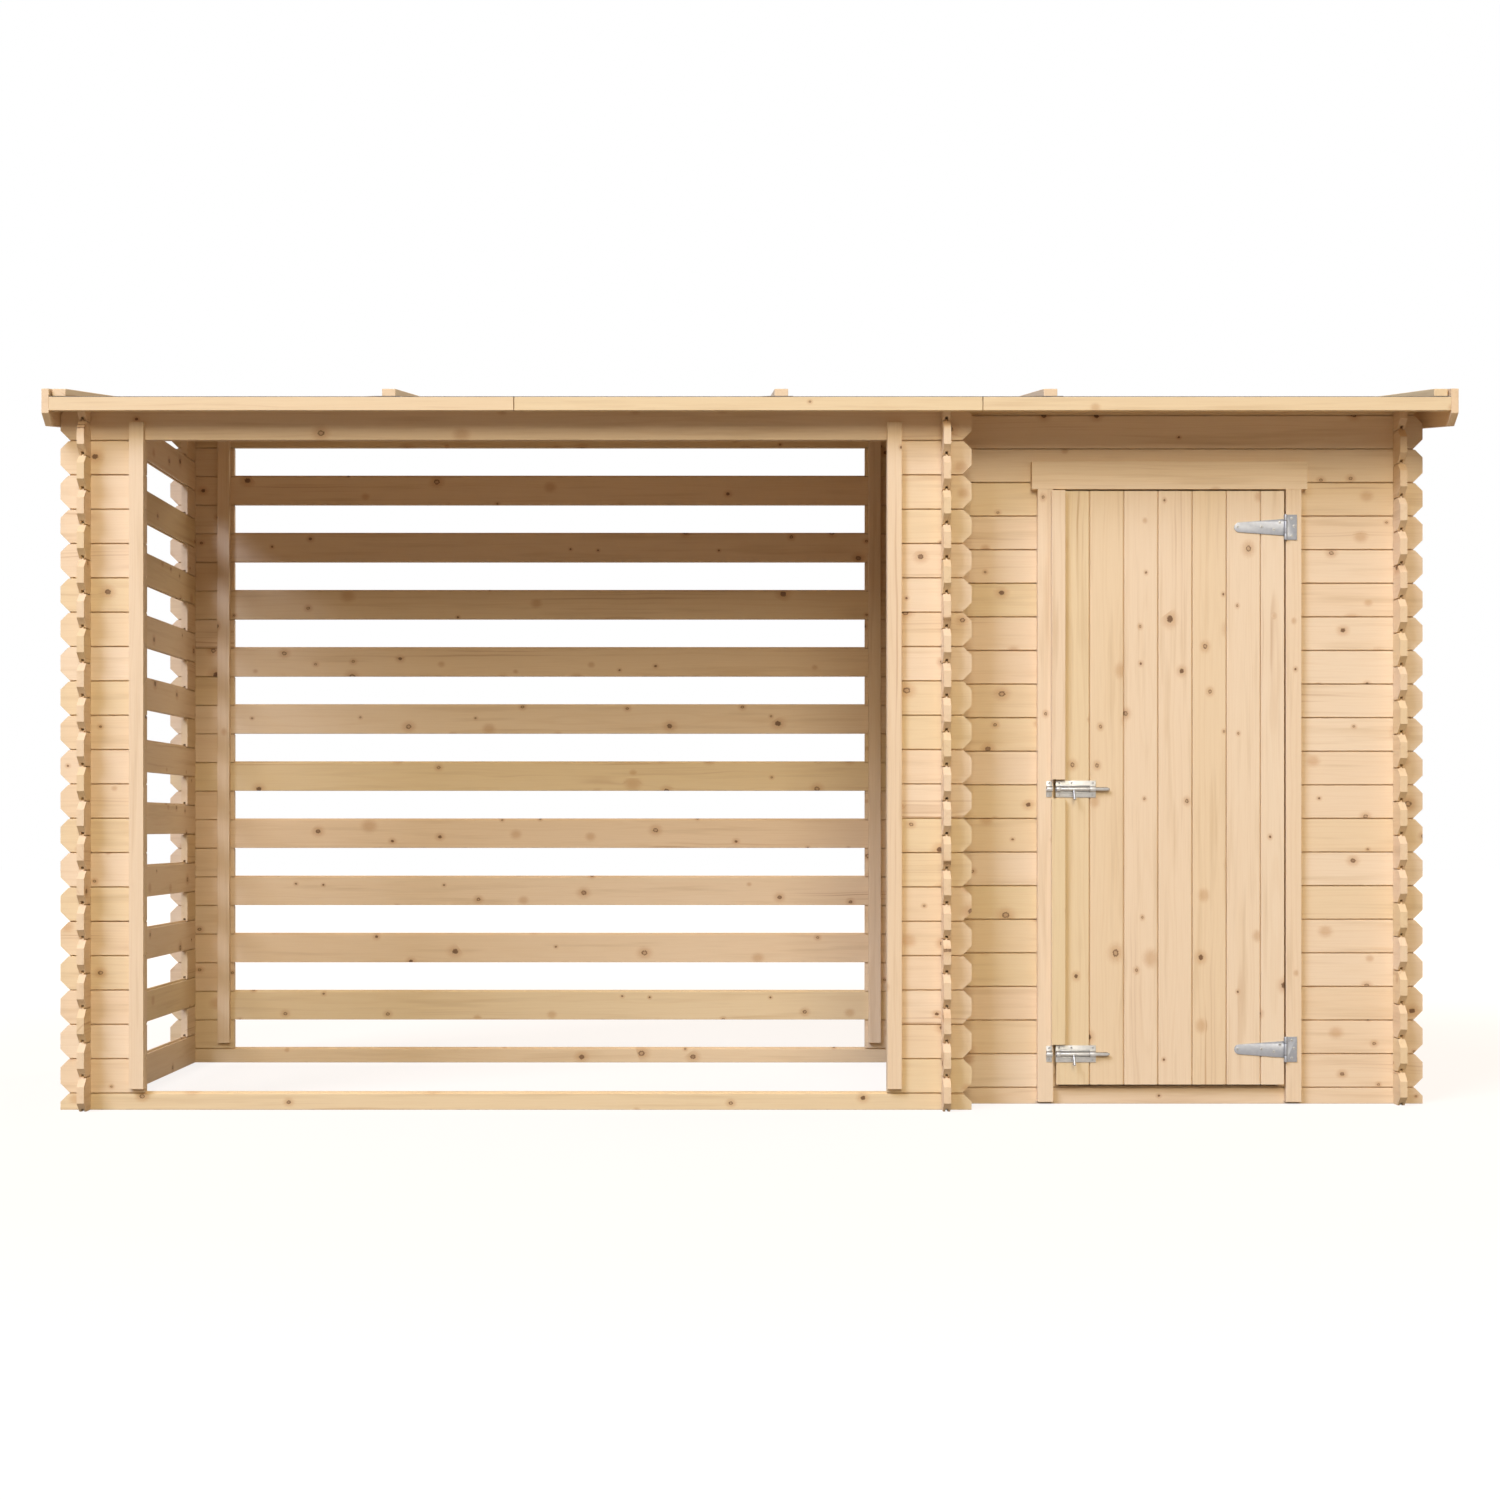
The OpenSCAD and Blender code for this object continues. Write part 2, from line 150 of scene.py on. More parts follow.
def part_at(place: Sequence[float], normal: Sequence[float], cut_off: bool = False) -> None:
    """In edit mode, cuts the whole mesh with a plane.

    Args:
        place: A point of the plane.
        normal: The plane's normal, which points to the side that is cut off.
        cut_off: Whether that side is removed and the cut closed.
    """
    bpy.ops.mesh.select_all(action="SELECT")
    bpy.ops.mesh.bisect(plane_co=place, plane_no=normal, clear_outer=cut_off, use_fill=cut_off)


def extrude(x: float = 0.0, y: float = 0.0, z: float = 0.0) -> None:
    """In edit mode, extrudes what is selected by a vector."""
    bpy.ops.mesh.extrude_region_move(TRANSFORM_OT_translate={"value": (x, y, z)})


def apply_modifier(piece: Piece, kind: str, **settings: object) -> None:
    """Adds a modifier with these settings and applies it.

    Args:
        piece: The piece that the modifier changes.
        kind: The modifier's type.
        settings: Its settings, by name.
    """
    modifier = piece.modifiers.new(kind.lower(), kind)
    for name, value in settings.items():
        setattr(modifier, name, value)
    select_only(piece)
    bpy.ops.object.modifier_apply(modifier=modifier.name)


def added(name: str) -> Piece:
    """Names the primitive that was just added, and settles its place and size in its mesh."""
    piece = bpy.context.object
    piece.name = name
    select_only(piece)
    bpy.ops.object.transform_apply(location=True, rotation=True, scale=True)
    return piece


def block(name: str, low: Sequence[float], high: Sequence[float]) -> Piece:
    """Adds a cube between two corners.

    Args:
        name: The new piece's name.
        low: The lowest corner.
        high: The highest corner.

    Returns:
        The cube, with its place in its mesh.
    """
    low, high = Vector(low), Vector(high)
    bpy.ops.mesh.primitive_cube_add(size=1, location=(low + high) / 2)
    bpy.context.object.scale = high - low
    return added(name)


def rod(name: str, centre: Sequence[float], radius: float, length: float,
        direction: Sequence[float] = (0, 0, 1), sides: int = 24) -> Piece:
    """Adds a cylinder.

    Args:
        name: The new piece's name.
        centre: Its middle.
        radius: Its radius.
        length: Its length.
        direction: The direction of its axis.
        sides: The number of its flat sides.

    Returns:
        The cylinder, with its place in its mesh.
    """
    turn = Vector(direction).to_track_quat("Z", "Y").to_euler()
    bpy.ops.mesh.primitive_cylinder_add(
        vertices=sides, radius=radius, depth=length, location=centre, rotation=turn)
    return added(name)


def copy_of(piece: Piece, name: str, place: Matrix = Matrix.Identity(4)) -> Piece:
    """Copies a piece with a mesh of its own.

    Args:
        piece: The piece to copy.
        name: The copy's name.
        place: The move and turn that the copy's mesh gets.

    Returns:
        The copy.
    """
    made = bpy.data.objects.new(name, piece.data.copy())
    made.data.materials.clear()
    made.data.transform(place)
    bpy.context.scene.collection.objects.link(made)
    return made


def joined(name: str, pieces: Sequence[Piece]) -> Piece:
    """Joins pieces into the first of them and names it."""
    select_only(*pieces)
    if len(pieces) > 1:
        bpy.ops.object.join()
    pieces[0].name = name
    return pieces[0]


def discard(*pieces: Piece) -> None:
    """Removes pieces that only helped to make others."""
    for piece in pieces:
        bpy.data.objects.remove(piece)


def subtract(piece: Piece, cutters: Sequence[Piece]) -> None:
    """Cuts the joined cutters out of a piece and removes them."""
    cutter = joined("cutter", list(cutters))
    apply_modifier(piece, "BOOLEAN", operation="DIFFERENCE", solver="EXACT", object=cutter)
    discard(cutter)


def from_node(node: str, name: str) -> Piece:
    """Copies a node of the frame and merges its loose triangles into flat faces.

    Args:
        node: The node to copy.
        name: The copy's name.

    Returns:
        The copy, ready for bevels.
    """
    piece = copy_of(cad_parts[node], name)
    with editing(piece):
        bpy.ops.mesh.remove_doubles(threshold=HAIR / 10)
        bpy.ops.mesh.dissolve_limited(angle_limit=FLAT)
    return piece


def break_edges(piece: Piece, width: float, segments: int = 2, angle: float = 30.0) -> None:
    """Bevels all sharp edges of a piece.

    Args:
        piece: The piece to bevel.
        width: The width of the bevel.
        segments: The number of its faces.
        angle: The least angle of a sharp edge, in degrees.
    """
    apply_modifier(piece, "BEVEL", width=width, segments=segments, limit_method="ANGLE",
                   angle_limit=math.radians(angle), use_clamp_overlap=True)


def smooth(piece: Piece, angle: float = 35.0) -> None:
    """Shades the faces of a piece smooth, except over edges sharper than an angle in degrees."""
    select_only(piece)
    bpy.ops.object.shade_smooth_by_angle(angle=math.radians(angle))


def finish(piece: Piece, body: Body, slot: Slot, look: bpy.types.Material, *nodes: str) -> None:
    """Gives a finished piece its material, hangs it on its body and hides the frame's nodes that it
    stands for.

    Args:
        piece: The finished piece.
        body: The body that it rides on.
        slot: Not used.
        look: Its material.
        nodes: The nodes of the frame that it stands for.
    """
    piece.data.materials.clear()
    piece.data.materials.append(look)
    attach(piece, body.value)
    if nodes:
        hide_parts(*nodes)
    log.info("%s: %d faces on %s", piece.name, len(piece.data.polygons), body.value)


# ---------- sizes from the frame ----------


@dataclass(frozen=True)
class Shell:
    """Driving sizes and places of the building, in metres."""

    half: float
    board_t: float
    left_x: float
    divider_x: float
    right_x: float
    front_y: float
    back_y: float
    shed_front_y: float
    shed_back_y: float
    front_top: float
    back_top: float

    @classmethod
    def from_frame(cls) -> "Shell":
        """Reads the sizes off the frame's nodes.

        Returns:
            The building's sizes.
        """
        sill_low, sill_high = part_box("open_front_sill")
        return cls(
            half=sill_high.z - sill_low.z,
            board_t=sill_high.y - sill_low.y,
            left_x=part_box("open_side_slats")[0].x,
            divider_x=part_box("divider_wall")[0].x,
            right_x=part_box("shed_right_wall")[0].x,
            front_y=sill_low.y,
            back_y=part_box("open_back_slats")[0].y,
            shed_front_y=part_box("shed_front_sill")[0].y,
            shed_back_y=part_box("shed_back_wall")[0].y,
            front_top=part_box("open_front_lintel")[1].z,
            back_top=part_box("open_back_slats")[1].z,
        )

    @property
    def course(self) -> float:
        """Height of a whole board."""
        return 2 * self.half

    @property
    def pitch(self) -> float:
        """Slope of the roof, as an angle in radians."""
        return math.atan((self.back_top - self.front_top) / (self.back_y - self.front_y))

    def roof_z(self, y: float) -> float:
        """Height of the roof's underside at y."""
        return self.front_top + math.tan(self.pitch) * (y - self.front_y)

    def under_roof(self, piece: Piece) -> None:
        """Cuts a piece off at the roof's underside."""
        normal = (0, -math.sin(self.pitch), math.cos(self.pitch))
        with editing(piece):
            part_at((0, self.front_y, self.front_top), normal, cut_off=True)


# ---------- milled boards ----------


class Edge(Enum):
    """How a board's long edge is worked."""

    PLAIN = "plain"
    MATCHED = "a tongue or a groove"


@dataclass
class Mill:
    """Mills and lays the building's boards.

    A board is made in its own frame: X along its length from 0, Y through its thickness with
    0 in the middle, Z up its width from 0.
    """

    draw: random.Random
    thickness: float
    arris: float = 0.9 * MM
    gap: float = 3.2 * MM
    tongue_w: float = 5.0 * MM
    tongue_h: float = 6.0 * MM
    groove_w: float = 7.5 * MM
    groove_h: float = 8.0 * MM
    tip_cut: float = 24.0 * MM
    notch_deep: float = 22.5 * MM
    play: float = 0.2 * MM

    def board(self, length: float, width: float, top: Edge = Edge.MATCHED,
              bottom: Edge = Edge.MATCHED) -> Piece:
        """Draws the board's profile on a plane and extrudes it to the board's length.

        Args:
            length: The board's length.
            width: The width that it covers. The board is lower by the gap.
            top: How its upper edge is worked, with a tongue or plain.
            bottom: How its lower edge is worked, with a groove or plain.

        Returns:
            The board, in its own frame.
        """
        edge = width - self.gap
        bpy.ops.mesh.primitive_plane_add(
            size=1, location=(0, 0, edge / 2), rotation=(0, math.pi / 2, 0))
        bpy.context.object.scale = (edge, self.thickness, 1)
        board = added("template")
        with editing(board):
            for side in (-1, 1):
                part_at((0, side * self.groove_w / 2, 0), (0, 1, 0))
                part_at((0, side * self.tongue_w / 2, 0), (0, 1, 0))
            part_at((0, 0, self.groove_h), (0, 0, 1))
        if bottom is Edge.MATCHED:
            low = self.groove_h
            with editing(board, Pick.FACES, lambda c, n: abs(c.y) < self.groove_w / 2 and c.z < low):
                bpy.ops.mesh.delete(type="FACE")
        if top is Edge.MATCHED:
            inside = self.tongue_w / 2 - HAIR
            with editing(board, Pick.EDGES, lambda c, d: abs(c.y) < inside and c.z > edge - MM / 2):
                extrude(z=self.tongue_h)
        with editing(board):
            bpy.ops.mesh.dissolve_limited(angle_limit=FLAT)
        corner = self.thickness / 2 - HAIR
        with editing(board, Pick.VERTS, lambda c, n: abs(c.y) > corner):
            bpy.ops.mesh.bevel(offset=self.arris, segments=1, affect="VERTICES")
            bpy.ops.mesh.select_all(action="SELECT")
            extrude(x=length)
            bpy.ops.mesh.select_all(action="SELECT")
            bpy.ops.mesh.normals_make_consistent(inside=False)
        return board

    def shape_end(self, board: Piece, end: float, width: float, lower: bool = True) -> None:
        """Cuts the corners off one end of a board.

        Args:
            board: The board to cut.
            end: The place of the end along the board, which is 0 or its length.
            width: The width that the board covers.
            lower: Whether the lower corner is cut as well as the upper one.
        """
        out = -1 if end == 0 else 1
        start = end - out * self.tip_cut
        with editing(board):
            part_at((start, 0, width), (out, 0, 1), cut_off=True)
            if lower:
                part_at((start, 0, 0), (out, 0, -1), cut_off=True)

    def notch(self, board: Piece, places: Iterable[float], width: float, lower: bool = True) -> None:
        """Cuts the notches in which the boards of other walls cross.

        Args:
            board: The board to cut.
            places: The middle of each crossing, along the board.
            width: The width that the board covers.
            lower: Whether there are notches below as well as above.
        """
        deep = self.notch_deep + self.play
        side = self.thickness / 2 + self.play
        spans = [(width - deep, width + 2 * self.tongue_h)]
        if lower:
            spans.append((-2 * self.tongue_h, deep))
        cutters = [
            block("notch", (x - side, -self.thickness, low), (x + side, self.thickness, high))
            for x in places for low, high in spans
        ]
        subtract(board, cutters)

    def grain(self, board: Piece, to_board: Matrix) -> None:
        """Gives a board the attributes that its finish reads.

        "grain" is the place in the board's own frame, moved so that the tree's pith is at 0 of Y
        and Z and no two boards share a stretch of X. "tone" is drawn for the whole board, and
        "end" is 1 on the faces that cross the grain.

        Args:
            board: The board.
            to_board: The matrix from the building's frame to the board's own.
        """
        mesh = board.data
        points = np.empty(len(mesh.vertices) * 3)
        mesh.vertices.foreach_get("co", points)
        turn = np.array(to_board.to_3x3())
        away = [self.draw.uniform(0, 40), self.draw.uniform(0.015, 0.06),
                self.draw.uniform(-0.09, 0.01)]
        local = points.reshape(-1, 3) @ turn.T + np.array(to_board.translation) + away
        attribute = mesh.attributes.new("grain", "FLOAT_VECTOR", "POINT")
        attribute.data.foreach_set("vector", local.astype(np.float32).ravel())
        tone = mesh.attributes.new("tone", "FLOAT", "POINT")
        tone.data.foreach_set("value", [self.draw.random()] * len(mesh.vertices))
        along = turn[0]
        ends = [float(abs(np.dot(face.normal, along)) > 0.6) for face in mesh.polygons]
        mesh.attributes.new("end", "FLOAT", "FACE").data.foreach_set("value", ends)

    def lay(self, template: Piece, place: Matrix, cut: Callable[[Piece], None] | None = None) -> Piece:
        """Lays a copy of a board at its place.

        Args:
            template: The board, in its own frame.
            place: The matrix from the board's frame to the building's.
            cut: What is still cut off the board at its place.

        Returns:
            The laid board, with its grain.
        """
        board = copy_of(template, "board", place)
        if cut:
            cut(board)
        self.grain(board, place.inverted())
        return board

    def timber(self, node: str, name: str, length_axis: Sequence[float], arris: float = MM) -> Piece:
        """Makes plain timber from a node of the frame: broken edges, and a grain.

        Args:
            node: The node of the frame.
            name: The new piece's name.
            length_axis: The direction of the grain.
            arris: The width of the broken edges.

        Returns:
            The timber. Loose parts of it each get a grain of their own.
        """
        whole = from_node(node, name)
        break_edges(whole, arris)
        with editing(whole):
            bpy.ops.mesh.separate(type="LOOSE")
        parts = sorted(bpy.context.selected_objects, key=lambda o: tuple(o.data.vertices[0].co))
        along = Vector(length_axis).normalized()
        turn = along.to_track_quat("X", "Z").to_matrix().to_4x4()
        for part in parts:
            middle = sum((v.co for v in part.data.vertices), Vector()) / len(part.data.vertices)
            self.grain(part, (Matrix.Translation(middle) @ turn).inverted())
        return joined(name, parts)


# ---------- finishes ----------


def linear(code: str) -> tuple[float, float, float, float]:
    """Turns an sRGB hex colour into the linear colour that a shader takes."""
    shares = (int(code[i:i + 2], 16) / 255 for i in (1, 3, 5))
    return (*(c / 12.92 if c <= 0.04045 else ((c + 0.055) / 1.055) ** 2.4 for c in shares), 1.0)


def add_node(tree: bpy.types.NodeTree, kind: str, inputs: dict[int | str, object] | None = None,
             **settings: object) -> bpy.types.Node:
    """Adds a node to a tree, with its settings and links.

    Args:
        tree: The node tree.
        kind: The node's type.
        inputs: What each input gets: a number or colour, a socket, or a node's first output.
        settings: The node's own settings, by name.

    Returns:
        The new node.
    """
    made = tree.nodes.new(kind)
    for name, value in settings.items():
        setattr(made, name, value)
    for key, value in (inputs or {}).items():
        if isinstance(value, bpy.types.Node):
            value = value.outputs[0]
        if isinstance(value, bpy.types.NodeSocket):
            tree.links.new(value, made.inputs[key])
        else:
            made.inputs[key].default_value = value
    return made


def new_look(name: str) -> tuple[bpy.types.Material, Callable[..., bpy.types.Node]]:
    """Starts a material with an empty tree.

    Args:
        name: The material's name.

    Returns:
        The material, and add_node for its tree.
    """
    look = bpy.data.materials.new(name)
    look.use_nodes = True
    look.node_tree.nodes.clear()
    return look, partial(add_node, look.node_tree)


@dataclass(frozen=True)
class PlanedSpruce:
    """Planed, untreated spruce: pale, warm and matt.

    It gives the eye boards of slightly different tones, a few of them olive, with faint growth
    rings, fine fibres, long darker streaks, small brown knots in stained wood, and darker ends.
    """

    name: str
    pale: str = "#F0DABA"
    warm: str = "#ECD0AB"
    olive: str = "#E8D3A5"
    late: str = "#D0A870"
    streak: str = "#BF9D6C"
    heart: str = "#A8733D"
    halo: str = "#BE8A50"
    knot: str = "#65411F"
    cut_end: str = "#E6C79C"
    # Growth rings are 2 to 4 mm apart. They're drawn a little wider, so that they show.
    ring_mm: float = 6.5
    fibre_mm: float = 2.4
    fibre_len_mm: float = 120.0
    streak_mm: float = 20.0
    streak_len_mm: float = 380.0
    cell_mm: float = 96.0
    knotted: float = 0.44
    stained: float = 0.54
    knot_from_mm: float = 2.6
    knot_to_mm: float = 8.5
    rim_mm: float = 4.0
    # Cells along the board, as a share of the cells up the same distance.
    cells_along: float = 0.82
    # Turns of slow noise in a metre: along the grain, through the board and up it.
    heart_per_m: tuple[float, float, float] = (1.4, 16, 16)
    wander_per_m: tuple[float, float, float] = (2.2, 9, 9)
    # How far the rings wander along the board, and how far they flow round a knot.
    wander_mm: float = 30.0
    flow_mm: float = 4.0
    # The most that each colour covers the wood under it.
    olive_most: float = 0.75
    streak_most: float = 0.42
    ring_most: float = 0.1
    heart_lines: float = 0.42
    heart_base: float = 0.06
    fibre_most: float = 0.14
    halo_most: float = 0.45
    end_most: float = 0.35
    knot_most: float = 0.9
    roughness: float = 0.62

    def noise(self, add: Callable[..., bpy.types.Node], grain: bpy.types.NodeSocket,
              per_m: Sequence[float], detail: float) -> bpy.types.Node:
        """Adds noise that is stretched along the grain.

        Args:
            add: Adds a node.
            grain: The place in the board's frame.
            per_m: The noise's turns in a metre, along the grain and across it.
            detail: Its detail.

        Returns:
            The noise.
        """
        place = add("ShaderNodeVectorMath", {0: grain, 1: per_m}, operation="MULTIPLY")
        return add("ShaderNodeTexNoise", {"Vector": place, "Scale": 1.0, "Detail": detail})

    def material(self) -> bpy.types.Material:
        """Builds the material.

        Returns:
            The material, which reads the attributes that Mill.grain gives.
        """
        look, add = new_look(self.name)
        grain = add("ShaderNodeAttribute", attribute_name="grain").outputs["Vector"]
        tone = add("ShaderNodeAttribute", attribute_name="tone").outputs["Fac"]
        end = add("ShaderNodeAttribute", attribute_name="end").outputs["Fac"]
        x, y, z = add("ShaderNodeSeparateXYZ", {0: grain}).outputs
        core, halo = self.knots(add, grain, x, z)
        lines = self.rings(add, grain, y, z, halo)
        along, across = 1000 / self.fibre_len_mm, 1000 / self.fibre_mm
        fibre = self.noise(add, grain, (along, across, across), 3.0)
        along, across = 1000 / self.streak_len_mm, 1000 / self.streak_mm
        streak = self.noise(add, grain, (along, across, across), 3.0)
        blotch = self.noise(add, grain, self.heart_per_m, 2.0)
        old = add("ShaderNodeMapRange", {"Value": blotch, "From Min": 0.58, "From Max": 0.74},
                  interpolation_type="SMOOTHSTEP")
        colour = add("ShaderNodeMix", {0: tone, 6: linear(self.pale), 7: linear(self.warm)},
                     data_type="RGBA").outputs[2]
        olive_share = add("ShaderNodeMapRange", {
            "Value": tone, "From Min": 0.6, "From Max": 1.0, "To Max": self.olive_most})
        streak_share = add("ShaderNodeMapRange", {
            "Value": streak, "From Min": 0.54, "From Max": 0.8, "To Max": self.streak_most})
        ring_share = add("ShaderNodeMath", {0: lines, 1: self.ring_most}, operation="MULTIPLY")
        lined = add("ShaderNodeMath", {0: lines, 1: self.heart_lines, 2: self.heart_base},
                    operation="MULTIPLY_ADD")
        heart_share = add("ShaderNodeMath", {0: lined, 1: old}, operation="MULTIPLY")
        fibre_share = add("ShaderNodeMapRange", {
            "Value": fibre, "From Min": 0.45, "From Max": 0.75, "To Max": self.fibre_most})
        halo_share = add("ShaderNodeMath", {0: halo, 1: self.halo_most}, operation="MULTIPLY")
        core_share = add("ShaderNodeMath", {0: core, 1: self.knot_most}, operation="MULTIPLY")
        end_share = add("ShaderNodeMath", {0: end, 1: self.end_most}, operation="MULTIPLY")
        for share, code in ((olive_share, self.olive), (streak_share, self.streak),
                            (ring_share, self.late), (heart_share, self.heart),
                            (fibre_share, self.late), (halo_share, self.halo),
                            (end_share, self.cut_end), (core_share, self.knot)):
            colour = add("ShaderNodeMix", {0: share, 6: colour, 7: linear(code)},
                         data_type="RGBA").outputs[2]
        height = add("ShaderNodeMath", {0: lines, 1: 0.4, 2: fibre}, operation="MULTIPLY_ADD")
        bump = add("ShaderNodeBump", {"Strength": 0.25, "Distance": 0.4 * MM, "Height": height})
        shader = add("ShaderNodeBsdfPrincipled", {
            "Base Color": colour, "Roughness": self.roughness, "Normal": bump})
        add("ShaderNodeOutputMaterial", {"Surface": shader})
        return look

    def knots(self, add: Callable[..., bpy.types.Node], grain: bpy.types.NodeSocket,
              x: bpy.types.NodeSocket,
              z: bpy.types.NodeSocket) -> tuple[bpy.types.Node, bpy.types.Node]:
        """Scatters knots over the board: one to some of the cells of a Voronoi pattern.

        Some cells get stained wood only, and some knots are living, with paler wood in their rim.

        Args:
            add: Adds a node.
            grain: The place in the board's frame.
            x: The place along the grain.
            z: The place up the board.

        Returns:
            The share of knot and the share of the stained wood round it.
        """
        cells = add("ShaderNodeTexVoronoi", {
            "Vector": add("ShaderNodeVectorMath", {
                0: add("ShaderNodeCombineXYZ", {0: x, 1: z}),
                1: (self.cells_along * 1000 / self.cell_mm, 1000 / self.cell_mm, 0)},
                operation="MULTIPLY"),
            "Scale": 1.0, "Randomness": 0.95}, voronoi_dimensions="2D")
        drawn = add("ShaderNodeSeparateColor", {0: cells.outputs["Color"]})
        size = add("ShaderNodeMath", {0: drawn.outputs["Green"], 1: 1.4}, operation="POWER")
        radius = add("ShaderNodeMapRange", {
            "Value": size, "To Min": self.knot_from_mm / self.cell_mm,
            "To Max": self.knot_to_mm / self.cell_mm})
        ragged = add("ShaderNodeTexNoise", {
            "Vector": grain, "Scale": 1000 / self.rim_mm, "Detail": 2.0})
        reach = add("ShaderNodeMath", {0: cells.outputs["Distance"], 1: radius}, operation="DIVIDE")
        reach = add("ShaderNodeMath", {0: ragged, 1: 0.9, 2: reach}, operation="MULTIPLY_ADD")
        shares = []
        for inner, outer, chance in ((1.2, 1.6, self.knotted), (1.2, 4.2, self.stained),
                                     (0.85, 1.2, self.knotted)):
            share = add("ShaderNodeMapRange", {
                "Value": reach, "From Min": inner, "From Max": outer, "To Min": 1.0,
                "To Max": 0.0}, interpolation_type="SMOOTHSTEP")
            chosen = add("ShaderNodeMath", {0: drawn, 1: chance}, operation="LESS_THAN")
            shares.append(add("ShaderNodeMath", {0: share, 1: chosen}, operation="MULTIPLY"))
        core, halo, heart = shares
        living = add("ShaderNodeMapRange", {
            "Value": drawn.outputs["Blue"], "From Min": 0.25, "From Max": 0.5, "To Max": -0.7})
        rim = add("ShaderNodeMath", {0: heart, 1: living, 2: core}, operation="MULTIPLY_ADD")
        return rim, halo

    def rings(self, add: Callable[..., bpy.types.Node], grain: bpy.types.NodeSocket,
              y: bpy.types.NodeSocket, z: bpy.types.NodeSocket,
              halo: bpy.types.Node) -> bpy.types.Node:
        """Draws the growth rings round the pith, which wander along the board.

        Args:
            add: Adds a node.
            grain: The place in the board's frame.
            y: The place through the board.
            z: The place up the board.
            halo: The share of wood that flows round a knot.

        Returns:
            The share of late wood, in narrow lines.
        """
        away = add("ShaderNodeVectorMath", {0: add("ShaderNodeCombineXYZ", {0: y, 1: z})},
                   operation="LENGTH").outputs["Value"]
        wander = self.noise(add, grain, self.wander_per_m, 2.0)
        away = add("ShaderNodeMath", {0: wander, 1: self.wander_mm * MM, 2: away},
                   operation="MULTIPLY_ADD")
        away = add("ShaderNodeMath", {0: halo, 1: self.flow_mm * MM, 2: away},
                   operation="MULTIPLY_ADD")
        rings = add("ShaderNodeTexNoise", {"W": away, "Scale": 1000 / self.ring_mm, "Detail": 1.5},
                    noise_dimensions="1D")
        return add("ShaderNodeMapRange", {"Value": rings, "From Min": 0.48, "From Max": 0.72},
                   interpolation_type="SMOOTHSTEP")


@dataclass(frozen=True)
class ZincPlated:
    """Zinc-plated pressed steel. It gives the eye a soft grey gloss with faint cloudy patches."""

    name: str
    bright: str
    dull: str
    roughness: float
    # The plating's cloudy patches are about 8 mm wide.
    patch_mm: float = 8.0

    def material(self) -> bpy.types.Material:
        """Builds the material.

        Returns:
            The material.
        """
        look, add = new_look(self.name)
        place = add("ShaderNodeTexCoord").outputs["Object"]
        patches = add("ShaderNodeTexNoise", {
            "Vector": place, "Scale": 1000 / self.patch_mm, "Detail": 3.0})
        colour = add("ShaderNodeMix", {0: patches, 6: linear(self.bright), 7: linear(self.dull)},
                     data_type="RGBA").outputs[2]
        rough = add("ShaderNodeMapRange", {
            "Value": patches, "To Min": self.roughness - 0.06, "To Max": self.roughness + 0.1})
        bump = add("ShaderNodeBump", {"Strength": 0.08, "Distance": 0.1 * MM, "Height": patches})
        shader = add("ShaderNodeBsdfPrincipled", {
            "Base Color": colour, "Metallic": 1.0, "Roughness": rough, "Normal": bump})
        add("ShaderNodeOutputMaterial", {"Surface": shader})
        return look


@dataclass(frozen=True)
class MineralFelt:
    """Roofing felt. It gives the eye a rough, matt grey of slate granules, cloudy from afar."""

    name: str = "mineral_felt"
    light: str = "#77787B"
    dark: str = "#434447"
    # The granules are about 1 mm across. They're drawn at 2.5 mm, so that they show.
    granule_mm: float = 2.5
    granule_share: float = 0.6
    cloud_share: float = 0.5
    clouds_per_m: float = 5.0
    roughness: float = 0.9

    def material(self) -> bpy.types.Material:
        """Builds the material.

        Returns:
            The material.
        """
        look, add = new_look(self.name)
        place = add("ShaderNodeTexCoord").outputs["Object"]
        granules = add("ShaderNodeTexVoronoi", {"Vector": place, "Scale": 1000 / self.granule_mm})
        drawn = add("ShaderNodeSeparateColor", {0: granules.outputs["Color"]})
        cloud = add("ShaderNodeTexNoise", {
            "Vector": place, "Scale": self.clouds_per_m, "Detail": 4.0})
        cloud = add("ShaderNodeMath", {0: cloud, 1: self.cloud_share}, operation="MULTIPLY")
        share = add("ShaderNodeMath", {0: drawn, 1: self.granule_share, 2: cloud},
                    operation="MULTIPLY_ADD")
        colour = add("ShaderNodeMix", {0: share, 6: linear(self.dark), 7: linear(self.light)},
                     data_type="RGBA").outputs[2]
        bump = add("ShaderNodeBump", {
            "Strength": 0.5, "Distance": 0.6 * MM, "Height": granules.outputs["Distance"]})
        shader = add("ShaderNodeBsdfPrincipled", {
            "Base Color": colour, "Roughness": self.roughness, "Normal": bump})
        add("ShaderNodeOutputMaterial", {"Surface": shader})
        return look


# ---------- walls ----------


@dataclass(frozen=True)
class Run:
    """One length of board: where it starts and ends, which ends are shaped, and what crosses it."""

    low: float
    high: float
    shaped_low: bool
    shaped_high: bool
    crossings: tuple[float, ...]


